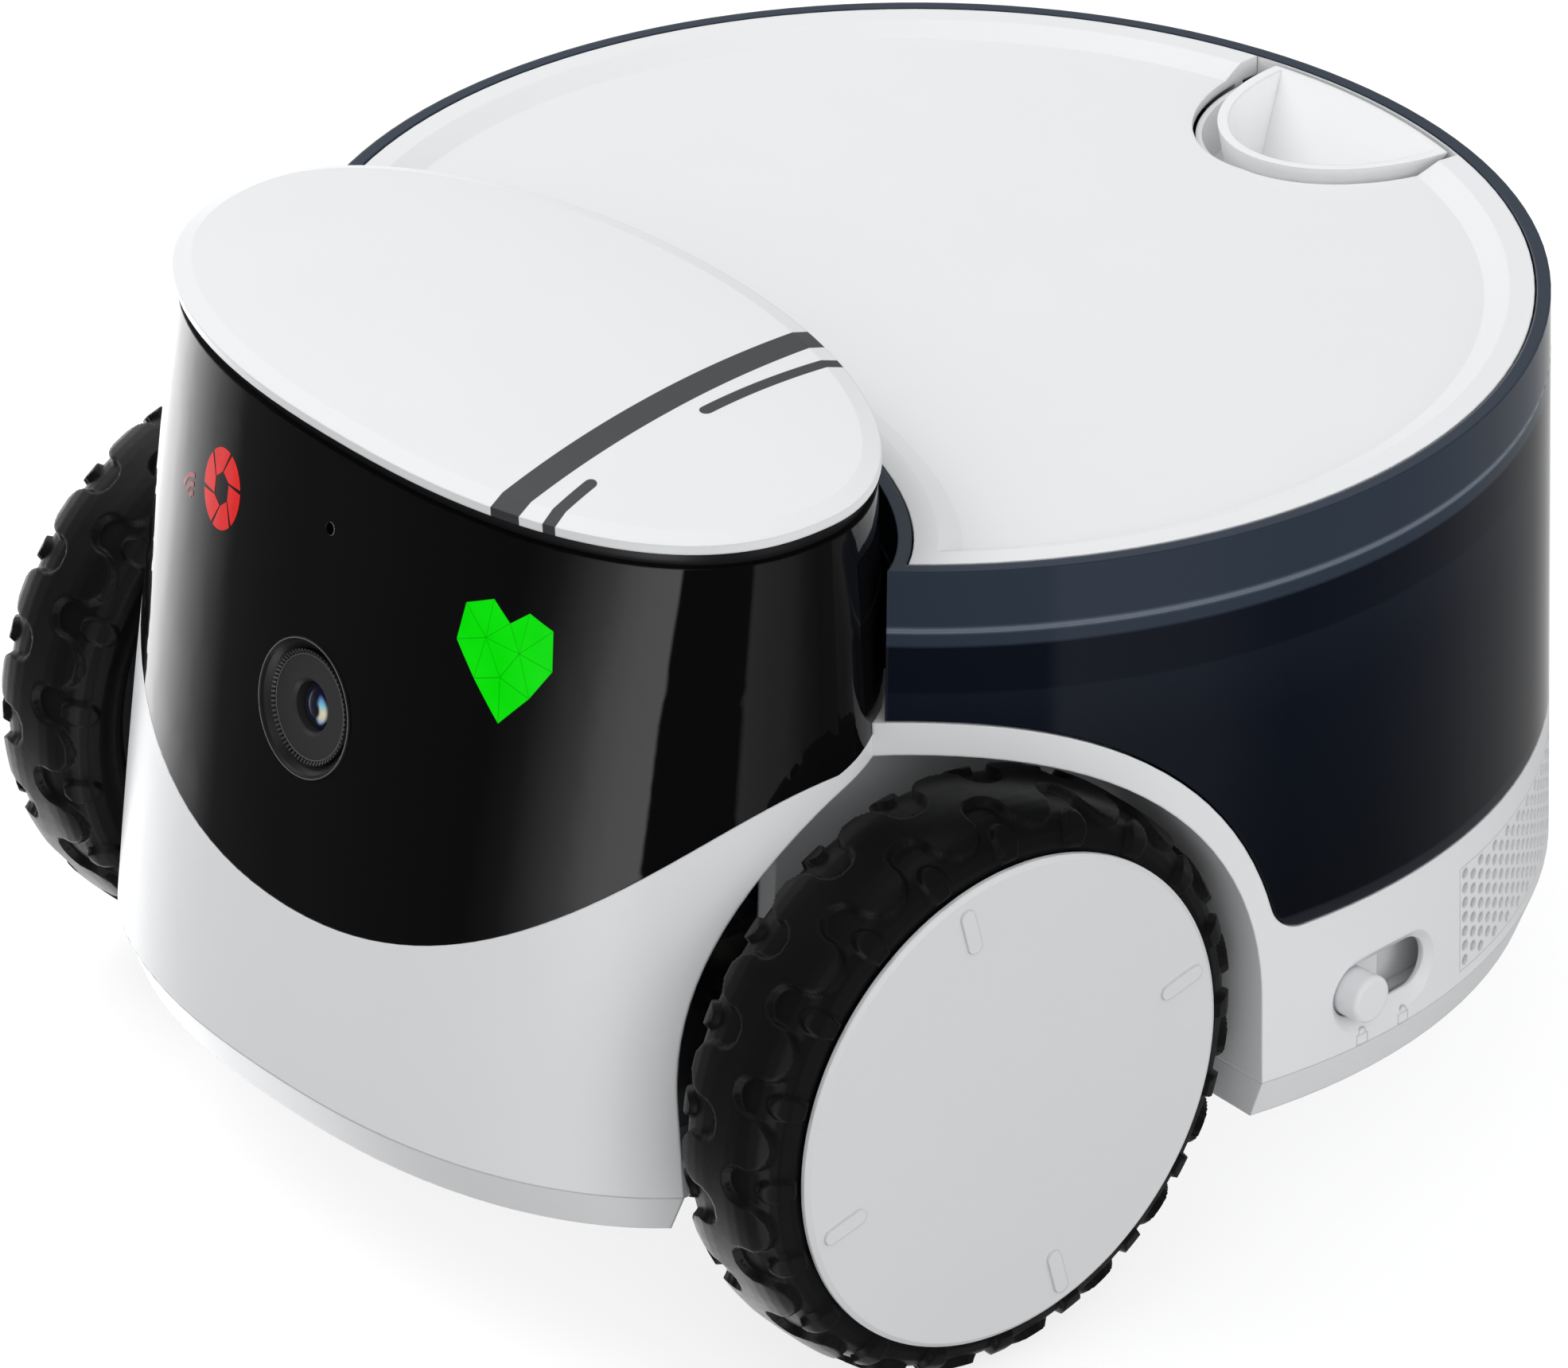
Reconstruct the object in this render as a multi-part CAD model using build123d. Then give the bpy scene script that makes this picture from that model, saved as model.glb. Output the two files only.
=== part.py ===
"""Two wheel robot car: a small indoor robot with two driven wheels, a rear caster, a camera head and a
lift-off treat bin.

Units are millimetres, +Z is up, -Y is the way the robot faces and +X is its left.
The origin is on the floor, half way along the robot. Each function makes one kind of piece.
"""
from build123d import *
from math import atan, cos, degrees, pi, radians, sin, sqrt
import os

# ---- body ----
BASE_Z = 26.0            # ground clearance
CREASE_Z = 33.0          # seam between the base pan and the shell
BASE_INSET = 2.6         # how far the pan's chamfer pulls in at the bottom
WALL = 2.2
GAP = 0.35               # clearance between pieces that move past each other

# ---- base pan ----
BATTERY_Y = 12.0
COVER_W, COVER_L = 66.0, 74.0      # battery cover
CLIFF_PLACES = [(-34, -98), (34, -98), (0, 104)]
CONTACT_X, CONTACT_Y = 14.0, -92.0
SCREW_PLACES = [(-50, -94), (50, -94), (-54, 30), (54, 30), (-36, 86), (36, 86)]

# ---- rear drum: treat bin above, shell below ----
DRUM_Y = 15.0
RIM_Z = 130.2
RIM_R = 100.0
DRUM_DRAFT = 0.0272      # growth of the radius for each millimetre down
BIN_Z = 59.2             # underside of the bin
BIN_CORNER = 6.0         # rounding of the bin's lower corner behind each wheel
RIM_BAND = 10.2          # height of the bin's rim frame
RECESS_A, RECESS_B = 76.4, 36.6    # the bin curves in round the head on this half ellipse
LID_INSET = 2.6          # width of the dark lip round the lid
LID_THICK = 3.3

# ---- head ----
HEAD_Y = -63.0
HEAD_HALF_W = 78.6       # half width at the crease
HEAD_TAPER = 0.058       # loss of half width for each millimetre up
FACE_Y = -117.3          # front of the chin at the crease
FACE_LEAN, FACE_CURVE = 0.1032, 0.00062
HEAD_BACK = 34.6         # depth of the head behind HEAD_Y
HEAD_POWER = 2.32        # front outline is a superellipse of this power
CAP_TILT = atan(0.075)   # the cap slopes down to the front
CAP_Z = 141.35           # underside of the cap at HEAD_Y
CAP_SIDE, CAP_BEVEL_H, CAP_BEVEL_W, CAP_DOME = 1.5, 1.1, 3.0, 1.5
GASKET_H = 2.8

# ---- wheels ----
AXLE_Y, AXLE_Z = -50.3, 48.5
TYRE_R = 48.5            # over the tread
CARCASS_R = 47.2
TYRE_X, TYRE_HALF_W = 87.8, 11.4
TREAD_COUNT = 20         # lobes, and lugs, on each side
TREAD_SHIFT = 0.8        # the tread's middle is this far outboard of the tyre's
TREAD_CORE, LOBE_REACH, LOBE_W = 1.35, 9.1, 8.7
HUBCAP_R, HUBCAP_X = 41.1, 101.1
WELL_X = 62.0            # inner wall of the wheel well
WELL_R = 50.5
WELL_FRONT = 40.5        # the well is narrower in front of the axle
HOUSING_A, HOUSING_B = 54.2, 56.0  # outside of the white arch over the well
SHAFT_R = 2.5
BORE_R = 2.55

# ---- drive ----
MODULE = 0.7
GEAR_TEETH, PINION_TEETH = 30, 12
GEAR_X, GEAR_W = 54.0, 4.0
PINION_Y = AXLE_Y - MODULE * (GEAR_TEETH + PINION_TEETH) / 2
BRACKET_X = 46.0

# ---- caster ----
CASTER_Y, CASTER_R, CASTER_TRAIL = 80.0, 10.0, 7.0

# ---- dispenser in the bin floor ----
ROTOR_Y, ROTOR_R = 40.0, 20.0

# ---- treat cup in the lid, a half moon against the rim ----
CUP_Y = 111.0            # centre of the half moon's ellipse
CUP_A, CUP_B, CUP_WALL = 21.0, 27.7, 1.8
CUP_DEPTH = 12.0
FINGER = (-3.0, -0.6)    # the finger recess is the cup's outline moved this far in x and y

# ---- bin lock on the left side, in the drum's own polar frame ----
LOCK_ANGLE = 6.05        # degrees from +X
LOCK_Z, LOCK_TRAVEL, KNOB_R = 42.3, 12.3, 4.0
KNOB_TOP = 105.1         # distance of the knob's face from the drum's axis

# ---- speaker grille ----
GRILLE_FROM, GRILLE_TO = 17.0, 58.0    # degrees from +X
GRILLE_LOW, GRILLE_HIGH = 35.0, 53.5
HOLE_R, HOLE_PITCH = 0.85, 2.6

# ---- camera ----
CAMERA_Z, MIC_Z = 94.8, 124.2
BEZEL_R = 11.3

EYES = {"left": (39.0, 116.8), "right": (-29.5, 118.7)}    # x and z of the two face displays


def drum_radius(z):
    """Radius of the drum's outside at height z."""
    return RIM_R + (RIM_Z - z) * DRUM_DRAFT


def drum(low, high, inset=0.0):
    """Slightly tapered round body between two heights."""
    body = Cone(drum_radius(low) - inset, drum_radius(high) - inset, high - low,
                align=(Align.CENTER, Align.CENTER, Align.MIN))
    return Pos(0, DRUM_Y, low) * body


def oval_post(a, b, low, high, y=HEAD_Y):
    """Upright elliptical post."""
    return Pos(0, y, low) * extrude(Ellipse(a, b), high - low)


def face_y(z):
    """Foremost point of the head at height z."""
    rise = z - CREASE_Z
    return FACE_Y + FACE_LEAN * rise + FACE_CURVE * rise ** 2


def head_half_width(z):
    return HEAD_HALF_W - HEAD_TAPER * (z - CREASE_Z)


def outline(half_w, front, back, z, power=HEAD_POWER, steps=16):
    """Closed head outline: a superellipse in front of HEAD_Y and an ellipse behind it."""
    points = []
    for step in range(2 * steps):
        turn = pi * step / steps
        c, s = cos(turn), sin(turn)
        shape = 2.0 if s >= 0 else power
        depth = back if s >= 0 else front
        x = half_w * (abs(c) ** (2 / shape)) * (1 if c > 0 else -1)
        y = depth * (abs(s) ** (2 / shape)) * (1 if s > 0 else -1)
        points.append((x, HEAD_Y + y, z))
    return Wire([Spline(*points, periodic=True).edge()])


def head_wire(z, inset=0.0):
    return outline(head_half_width(z) - inset, HEAD_Y - face_y(z) - inset, HEAD_BACK - inset, z)


def head(low, high, inset=0.0, layers=4):
    """Head column between two heights."""
    heights = [low + (high - low) * i / layers for i in range(layers + 1)]
    return Solid.make_loft([head_wire(z, inset) for z in heights])


def head_point(x, z):
    """Point on the head's front surface at x and z."""
    a, b = head_half_width(z), HEAD_Y - face_y(z)
    return Vector(x, HEAD_Y - b * (1 - abs(x / a) ** HEAD_POWER) ** (1 / HEAD_POWER), z)


def head_plane(x, z):
    """Plane on the head's front surface, with its normal outwards and its x across the face."""
    step = 0.5
    across = head_point(x + step, z) - head_point(x - step, z)
    up = head_point(x, z + step) - head_point(x, z - step)
    return Plane(origin=head_point(x, z), x_dir=across, z_dir=across.cross(up))


def cap_plane(height):
    """Plane parallel to the tilted cap, at a height above the cap's underside."""
    normal = Vector(0, -sin(CAP_TILT), cos(CAP_TILT))
    return Plane(origin=Vector(0, HEAD_Y, CAP_Z) + normal * height, x_dir=(1, 0, 0), z_dir=normal)


def below_plane(plane, size=400.0):
    """Large block under a plane, for trimming."""
    return plane * Pos(0, 0, -size / 2) * Box(size, size, size)


def arch_profile(front, rear, top, low):
    """Wheel arch outline in the YZ plane: two quarter ellipses on straight sides."""
    front_arc = EllipticalCenterArc((0, 0), front, top, 90)
    rear_arc = EllipticalCenterArc((0, 0), rear, top, 0)
    drop = low - AXLE_Z
    sides = Polyline((-front, 0), (-front, drop), (rear, drop), (rear, 0))
    face = make_face(Curve() + [front_arc, rear_arc, sides])
    plane = Plane(origin=(0, AXLE_Y, AXLE_Z), x_dir=(0, 1, 0), z_dir=(1, 0, 0))
    return plane * face


def arches(front, rear, top, inner_x, low=0.0, outer_x=120.0):
    """The arch outline run sideways on both sides of the robot."""
    profile = arch_profile(front, rear, top, low)
    left = Pos(inner_x, 0, 0) * extrude(profile, outer_x - inner_x)
    return Part() + [left, mirror(left, Plane.YZ)]


def wells():
    """Space that the wheels turn in."""
    return arches(WELL_FRONT, WELL_R, WELL_R, WELL_X)


def pair(piece):
    """A piece on the left and its mirror image on the right."""
    return piece, mirror(piece, Plane.YZ)


# ---- shell, pan and face ----

def face_region():
    """Region of the head that the black face panel takes: above a curve that dips over the chin."""
    steps = 12
    reach = 76.0
    curve = []
    for i in range(-steps, steps + 1):
        x = reach * i / steps
        curve.append((x, 62.1 + 0.0048 * x ** 2 + 3.3e-7 * x ** 4))
    edge = Spline(*curve)
    lid = Polyline(curve[-1], (reach + 10, curve[-1][1]), (reach + 10, 190), (-reach - 10, 190),
                   (-reach - 10, curve[0][1]), curve[0])
    front = Plane.XZ * make_face(Curve() + [edge, lid])
    front_block = extrude(front, 200, both=True)
    rear_end = -48.0
    side_edge = ThreePointArc((-76.6, 96.1), (-58.8, 100.8), (rear_end, 105.5))
    side_rest = Polyline((rear_end, 105.5), (0, 105.5), (0, 190), (-150, 190), (-150, 20), (-76.6, 96.1))
    side = Plane.YZ * make_face(Curve() + [side_edge, side_rest])
    return front_block & extrude(side, 120, both=True)


def head_under_cap(inset=0.0, low=CREASE_Z, drop=GASKET_H):
    """Head column cut off parallel to the cap, a little under it."""
    return head(low, 156.0, inset) & below_plane(cap_plane(-drop))


def lower_shell():
    """White shell: drum wall and deck under the bin, both wheel arches and the chin."""
    deck = BIN_Z - GAP
    body = drum(CREASE_Z, deck) + head_under_cap()
    room = drum(CREASE_Z - 1, deck - WALL, WALL) + head(CREASE_Z - 1, 156.0, WALL)
    housing = drum(CREASE_Z, AXLE_Z + HOUSING_B + 2) & arches(
        HOUSING_A, HOUSING_A, HOUSING_B, WELL_X - WALL, CREASE_Z)
    shell = (body - room) + housing + corner_fill(deck) - wells()
    shell -= face_region() & head(CREASE_Z, 156.0, -0.01)
    shell -= Pos(0, AXLE_Y, AXLE_Z) * Rot(0, 90, 0) * Cylinder(6.0, 2 * WELL_X + 4)
    shell -= drive_hole(deck)
    shell -= lock_slot()
    shell -= grille_patch()
    return shell


def corner_fill(deck):
    """Hollow rounding between the deck and each wheel arch, under the bin's rounded corner."""
    radius = BIN_CORNER + GAP
    lean = radians(15.1)         # lean of the arch where the rounding runs into it
    touch = deck + radius * (1 - sin(lean))
    arch_y = AXLE_Y + HOUSING_A * sqrt(1 - ((touch - AXLE_Z) / HOUSING_B) ** 2)
    middle = arch_y + radius * cos(lean)
    inner = WELL_X - WALL
    block = Pos(inner, arch_y - 1.4, deck - 1) * Box(50, middle - arch_y + 1.4, touch - deck + 1,
                                                     align=(Align.MIN, Align.MIN, Align.MIN))
    block -= Pos(inner + 25, middle, deck + radius) * Rot(0, 90, 0) * Cylinder(radius, 60)
    left = block & drum(deck - 2, deck + radius + 2)
    return Part() + [left, mirror(left, Plane.YZ)]


def drive_hole(deck):
    """Hole in the deck for the dispenser's drive dog."""
    return Pos(0, ROTOR_Y, deck - 1) * Cylinder(9.0, 8)


def base_pan():
    """Pan that closes the body underneath, with a chamfered outer edge."""
    bottom = drum_radius(CREASE_Z) - BASE_INSET
    height = CREASE_Z - BASE_Z
    pan = Pos(0, DRUM_Y, BASE_Z) * Cone(bottom, drum_radius(CREASE_Z), height,
                                        align=(Align.CENTER, Align.CENTER, Align.MIN))
    pan += Solid.make_loft([pan_wire(BASE_Z, BASE_INSET), pan_wire(CREASE_Z, 0)], ruled=True)
    room = Pos(0, DRUM_Y, BASE_Z + WALL) * Cone(bottom - WALL - 0.6, bottom - 0.4, height,
                                                align=(Align.CENTER, Align.CENTER, Align.MIN))
    room += Solid.make_loft([pan_wire(BASE_Z + WALL, BASE_INSET + WALL + 0.6),
                             pan_wire(BASE_Z + WALL + height, BASE_INSET + 0.4)], ruled=True)
    walls = arches(WELL_FRONT + WALL, WELL_R + WALL, WELL_R + WALL, WELL_X - WALL, 0)
    pan -= room - walls
    pan -= wells()
    pan -= Pos(0, BATTERY_Y, BASE_Z) * Box(COVER_W, COVER_L, 3 * WALL)
    pan -= Pos(0, CASTER_Y, BASE_Z) * Cylinder(4.0, 20)
    for x, y in CLIFF_PLACES:
        pan -= Pos(x, y, BASE_Z) * Box(14, 8, 10)
    for x in (-CONTACT_X, CONTACT_X):
        pan -= Pos(x, CONTACT_Y, BASE_Z) * Box(8, 14, 10)
    for x, y in SCREW_PLACES:
        pan -= Pos(x, y, BASE_Z) * Cylinder(3.2, 3.0)
        pan -= Pos(x, y, BASE_Z) * Cylinder(1.6, 12)
    return pan


def pan_wire(z, inset):
    """Pan outline: the head's outline at the crease, pulled in."""
    front = HEAD_Y - face_y(CREASE_Z) - inset
    return outline(head_half_width(CREASE_Z) - inset, front, HEAD_BACK - inset, z)


def battery_cover():
    cover = Pos(0, BATTERY_Y, BASE_Z + WALL / 2) * Box(COVER_W - 0.4, COVER_L - 0.4, WALL)
    grip = Pos(0, BATTERY_Y + COVER_L / 2 - 8, BASE_Z) * Box(22, 5, 1.6)
    screw = Pos(0, BATTERY_Y - COVER_L / 2 + 6, BASE_Z) * Cylinder(2.6, 1.6)
    return cover - grip - screw


def battery_pack():
    cell_r = 9.2
    cells = [Pos(x, BATTERY_Y, BASE_Z + WALL + 1 + cell_r) * Rot(90, 0, 0) * Cylinder(cell_r, 65)
             for x in (-cell_r, cell_r)]
    pack = Part() + cells
    pack += Pos(0, BATTERY_Y, BASE_Z + WALL + 1 + cell_r) * Box(2 * cell_r, 65, 2 * cell_r)
    return pack


def cliff_windows():
    return Part() + [Pos(x, y, BASE_Z + 1.1) * Box(13.8, 7.8, 2.2) for x, y in CLIFF_PLACES]


def charging_contacts():
    return Part() + [Pos(x, CONTACT_Y, BASE_Z + 1.1) * Box(7.8, 13.8, 2.2) for x in (-CONTACT_X, CONTACT_X)]


def base_screws():
    """Six countersunk screws that hold the pan to the shell."""
    screws = Part()
    for x, y in SCREW_PLACES:
        head_disc = Pos(x, y, BASE_Z + 0.8) * Cylinder(2.9, 1.2)
        drive = Pos(x, y, BASE_Z + 0.2) * Box(0.7, 3.2, 1.0)
        cross = Pos(x, y, BASE_Z + 0.2) * Box(3.2, 0.7, 1.0)
        shank = Pos(x, y, BASE_Z + 5.2) * Cylinder(1.5, 7.8)
        screws += head_disc + shank - drive - cross
    return screws


def face_panel():
    """Gloss black panel that wraps round the head, with holes for the camera and the microphone."""
    ring = head_under_cap() - head(CREASE_Z - 1, 157.0, WALL)
    panel = ring & face_region()
    panel -= head_plane(0, CAMERA_Z) * Cylinder(BEZEL_R, 20)
    panel -= head_plane(0, MIC_Z) * Cylinder(1.0, 20)
    return panel


def cap_section(height, inset=0.0, scale=1.0):
    """Cap outline, parallel to the cap plane."""
    front = (HEAD_Y - face_y(CAP_Z - 4)) / cos(CAP_TILT)
    wire = outline((72.9 - inset) * scale, (front + 1.0 - inset) * scale,
                   (HEAD_BACK + 0.8 - inset) * scale, 0)
    flat = Pos(0, -HEAD_Y, 0) * wire
    return cap_plane(height) * flat


def head_cap():
    """White cap: short upright side, bevel and a gentle dome."""
    side = Solid.make_loft([cap_section(0), cap_section(CAP_SIDE)], ruled=True)
    bevel_top = CAP_SIDE + CAP_BEVEL_H
    bevel = Solid.make_loft([cap_section(CAP_SIDE), cap_section(bevel_top, CAP_BEVEL_W)], ruled=True)
    dome = Solid.make_loft([cap_section(bevel_top + CAP_DOME * (1 - s * s), CAP_BEVEL_W, s)
                            for s in (1.0, 0.75, 0.5, 0.25, 0.05)])
    return side + bevel + dome


def cap_gasket():
    """Black band in the shadow gap under the cap."""
    outer = Solid.make_loft([cap_section(-GASKET_H, 1.6), cap_section(0, 1.6)], ruled=True)
    inner = Solid.make_loft([cap_section(-GASKET_H - 1, 4.2), cap_section(1, 4.2)], ruled=True)
    return outer - inner


# ---- camera and electronics ----

def revolved(points):
    """Solid of revolution about Z from (radius, height) points."""
    return revolve(Plane.XZ * make_face(Polyline(*points, close=True)), Axis.Z)


def camera_bezel():
    """Conical ring that leads down to the lens."""
    ring = revolved([(9.1, -7), (BEZEL_R, -7), (BEZEL_R, 0.1), (10.9, 0.1), (10.6, -0.4), (9.1, -1.9)])
    return head_plane(0, CAMERA_Z) * ring


def lens_barrel():
    """Lens barrel with a flat front ring round the glass."""
    points = [(0, -16), (7.2, -16), (7.2, -7.2), (9.0, -7.2), (9.0, -1.6), (8.7, -1.2), (4.6, -1.2),
              (4.05, -1.8), (4.05, -7.5), (0, -7.5)]
    return head_plane(0, CAMERA_Z) * revolved(points)


def lens_glass():
    """Domed front element."""
    glass = Pos(0, 0, -3.9) * Cylinder(3.95, 4.0) & Pos(0, 0, -7.9) * Sphere(6.0)
    return head_plane(0, CAMERA_Z) * glass


def camera_board():
    board = head_plane(0, CAMERA_Z) * Pos(0, 0, -17) * Box(32, 26, 1.6)
    chip = head_plane(0, CAMERA_Z) * Pos(0, 0, -18.6) * Box(12, 12, 1.6)
    return board + chip


def microphone():
    return head_plane(0, MIC_Z) * Pos(0, 0, -WALL - 1.6) * Box(4, 3, 1.6)


def proximity_window():
    """Small dark sensor window in the middle of the panel's top edge."""
    return cap_plane(-1.9) * Pos(0, -(HEAD_Y - face_y(CAP_Z - 4)) + 6.2, 0) * Box(9, 5, 1.6)


def face_display(x, z):
    """Light matrix behind the dark panel."""
    place = head_plane(x, z)
    return place * Pos(0, 0, -WALL - 4.2) * Box(30, 26, 1.8)


def main_board():
    z = 50.4
    board = Pos(0, 12, z) * Box(84, 70, 1.6)
    parts = [((0, 0), (16, 16, 1.6)), ((24, 14), (12, 9, 1.4)), ((-24, 14), (10, 14, 1.4)),
             ((-26, -22), (14, 8, 3)), ((26, -22), (14, 8, 3))]
    for (x, y), (w, d, h) in parts:
        board += Pos(x, 12 + y, z + 0.8 + h / 2) * Box(w, d, h)
    return board


def ribbon_cable():
    """Flat cable from the main board up to the camera board, in straight folded runs."""
    path = [(-23, 52.2), (-62, 52.2), (-62, 92.0), (-80, 92.0)]
    top = [(-80, 92.4), (-61.6, 92.4), (-61.6, 52.6), (-23, 52.6)]
    face = Plane.YZ * make_face(Polyline(*path, *top, close=True))
    return extrude(face, 6, both=True)


# ---- bin ----

def bin_body(low, high, inset=0.0, corner=0.0):
    """Bin shape between two heights: the drum, hollowed round the head and arched over the wheels."""
    body = drum(low, high, inset)
    body -= oval_post(RECESS_A + inset, RECESS_B + inset, low - 1, high + 1)
    grow = GAP + inset
    body -= arches(HOUSING_A + grow, HOUSING_A + grow, HOUSING_B + grow, WELL_X - WALL - grow, 0)
    if corner:
        low_edges = body.edges().filter_by_position(Axis.Z, low - 0.01, low + 0.01)
        across = [edge for edge in low_edges if edge.bounding_box().size.Y < 0.01]
        body = fillet(across, corner)
    return body


def bin_tub():
    """Smoke-tinted tub that holds the treats."""
    split = RIM_Z - RIM_BAND
    tub = bin_body(BIN_Z, split, 0, BIN_CORNER)
    tub -= bin_body(BIN_Z + WALL, split + 1, WALL, BIN_CORNER - WALL)
    tub -= Pos(0, ROTOR_Y, BIN_Z) * Cylinder(5.05, 3 * WALL)
    return tub


def bin_rim():
    """Frame round the top of the tub, with the ledge that the lid rests over."""
    low = RIM_Z - RIM_BAND
    ledge = RIM_Z - LID_THICK - GAP
    rim = bin_body(low, RIM_Z)
    rim -= bin_body(ledge, RIM_Z + 1, LID_INSET - GAP)
    rim -= bin_body(low - 1, RIM_Z + 1, LID_INSET + 2.0)
    return rim


def hopper_floor():
    """Funnel that leads the treats to the rotor."""
    low = BIN_Z + WALL
    ring = revolved([(ROTOR_R + 1, low), (ROTOR_R + 1, low + 12), (50, low + 20), (50, low + 17),
                     (ROTOR_R + 4, low + 9), (ROTOR_R + 4, low)])
    return Pos(0, ROTOR_Y, 0) * ring


def dispenser_rotor():
    """Paddle wheel that meters the treats, with a socket underneath for the drive dog."""
    low = BIN_Z + WALL + GAP
    rotor = Pos(0, ROTOR_Y, low + 1) * Cylinder(ROTOR_R, 2)
    rotor += Pos(0, ROTOR_Y, low + 5) * Cylinder(6, 10)
    for turn in range(0, 360, 60):
        vane = Pos(11.5, 0, low + 5.5) * Box(16.6, 1.8, 9)
        rotor += Pos(0, ROTOR_Y, 0) * Rot(0, 0, turn) * vane
    rotor += Pos(0, ROTOR_Y, BIN_Z + 1) * Cylinder(5.0, 5)
    slot = Pos(0, ROTOR_Y, BIN_Z - 1.5) * Box(7.4, 2.6, 9)
    return rotor - slot


def drive_dog():
    """Motor output with a flat tongue that enters the rotor's socket."""
    dog = Pos(0, ROTOR_Y, BIN_Z + 0.2) * Box(6.8, 2.0, 4)
    dog += Pos(0, ROTOR_Y, BIN_Z - 3.9) * Cylinder(5, 4.4)
    dog -= Pos(0, ROTOR_Y, BIN_Z - 6) * Cylinder(1.0, 5)
    return dog


def dispenser_motor():
    """Gearmotor under the deck that turns the drive dog."""
    return Pos(0, ROTOR_Y, 52.6) * Cylinder(7, 0.8) + Pos(0, ROTOR_Y, 53.6) * Cylinder(0.95, 3.4)


def lid_outline(inset, low, high):
    """Lid shape between two heights."""
    return bin_body(low, high, LID_INSET + inset)


def half_moon(grow, z, shrink=0.0):
    """Cup outline: an ellipse cut off by the lid's rear edge. shrink pulls the outline in for the floor."""
    a, b = CUP_A + grow - 0.4 * shrink, CUP_B + grow - 0.62 * shrink
    y = CUP_Y - 0.45 * shrink
    moon = Pos(0, y) * Ellipse(a, b)
    rear = Pos(0, DRUM_Y - 0.85 * shrink) * Circle(RIM_R - LID_INSET - 1.0 + grow * 0.5)
    return Pos(0, 0, z) * (moon & rear)


def moon_block(grow, top, low, shrink):
    """Scoop-shaped block under the half moon, with a sloping rear."""
    return loft(Sketch() + [half_moon(grow, low, shrink), half_moon(grow, top)], ruled=True)


def lid_plate():
    """White lid: flat rim, bevel and a shallow dish, with a skirt underneath."""
    low = RIM_Z - LID_THICK
    plate = lid_outline(0, low, RIM_Z)
    plate -= lid_dish()
    skirt = lid_outline(3.4, low - 6, low) - lid_outline(5.4, low - 7, low + 1)
    plate += skirt
    plate -= extrude(half_moon(1.6, low - 8), 20)
    plate -= Pos(*FINGER) * extrude(half_moon(1.6, low - 8), 20)
    return plate


def lid_dish():
    """Dish with a bevelled edge that follows the lid's outline."""
    depth, inner, outer = 1.8, 7.9, 3.9
    disc = Pos(0, DRUM_Y, RIM_Z - depth) * Cone(RIM_R - LID_INSET - inner, RIM_R - LID_INSET - outer + 0.02,
                                                depth + 0.01, align=(Align.CENTER, Align.CENTER, Align.MIN))
    grow = LID_INSET + inner
    low_oval = Pos(0, HEAD_Y, RIM_Z - depth - 1) * Ellipse(RECESS_A + grow + 2.2, RECESS_B + grow + 2.2)
    grow = LID_INSET + outer
    high_oval = Pos(0, HEAD_Y, RIM_Z + 0.02) * Ellipse(RECESS_A + grow, RECESS_B + grow)
    return disc - loft(Sketch() + [low_oval, high_oval], ruled=True)


def lid_seal():
    """Soft ring round the lid's skirt."""
    low = RIM_Z - LID_THICK
    seal = lid_outline(2.4, low - 4.5, low - 2.5) - lid_outline(3.4, low - 5, low - 2)
    hole = extrude(half_moon(1.6, low - 8), 20)
    return seal - hole - Pos(*FINGER) * hole


def cup_pocket():
    """Pocket under the lid that the cup drops into, wider on one side to make a finger recess."""
    top = RIM_Z - LID_THICK
    low = RIM_Z - CUP_DEPTH - 4.5
    outer = moon_block(1.6, RIM_Z, low, 13.0) & Pos(0, CUP_Y, top - 25) * Box(80, 80, 50)
    inner = moon_block(0.6, RIM_Z + 0.1, low + 1.2, 13.0)
    finger_outer = moon_block(1.6, RIM_Z, low, 13.0) & Pos(0, CUP_Y, top - 4) * Box(80, 80, 8)
    finger_inner = moon_block(0.6, RIM_Z + 0.1, low + 1.2, 13.0) & Pos(0, CUP_Y, top + 3.2) * Box(80, 80, 20)
    return outer + Pos(*FINGER) * finger_outer - inner - Pos(*FINGER) * finger_inner


def treat_cup():
    """Half-moon cup with a sloping floor and a small locating post."""
    low = RIM_Z - CUP_DEPTH - 1.6
    cup = moon_block(0, RIM_Z, low, 12.0)
    cup -= moon_block(-CUP_WALL, RIM_Z + 0.01, low + 1.6, 12.0)
    cup += Pos(-3.5, 87.5, low + 4) * Cylinder(0.9, 7.4)
    return cup


# ---- wheels ----

def on_axle(piece):
    """Places a piece made about Z on the left wheel's axle, with its +Z towards +X."""
    return Pos(0, AXLE_Y, AXLE_Z) * Rot(0, 90, 0) * piece


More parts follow.
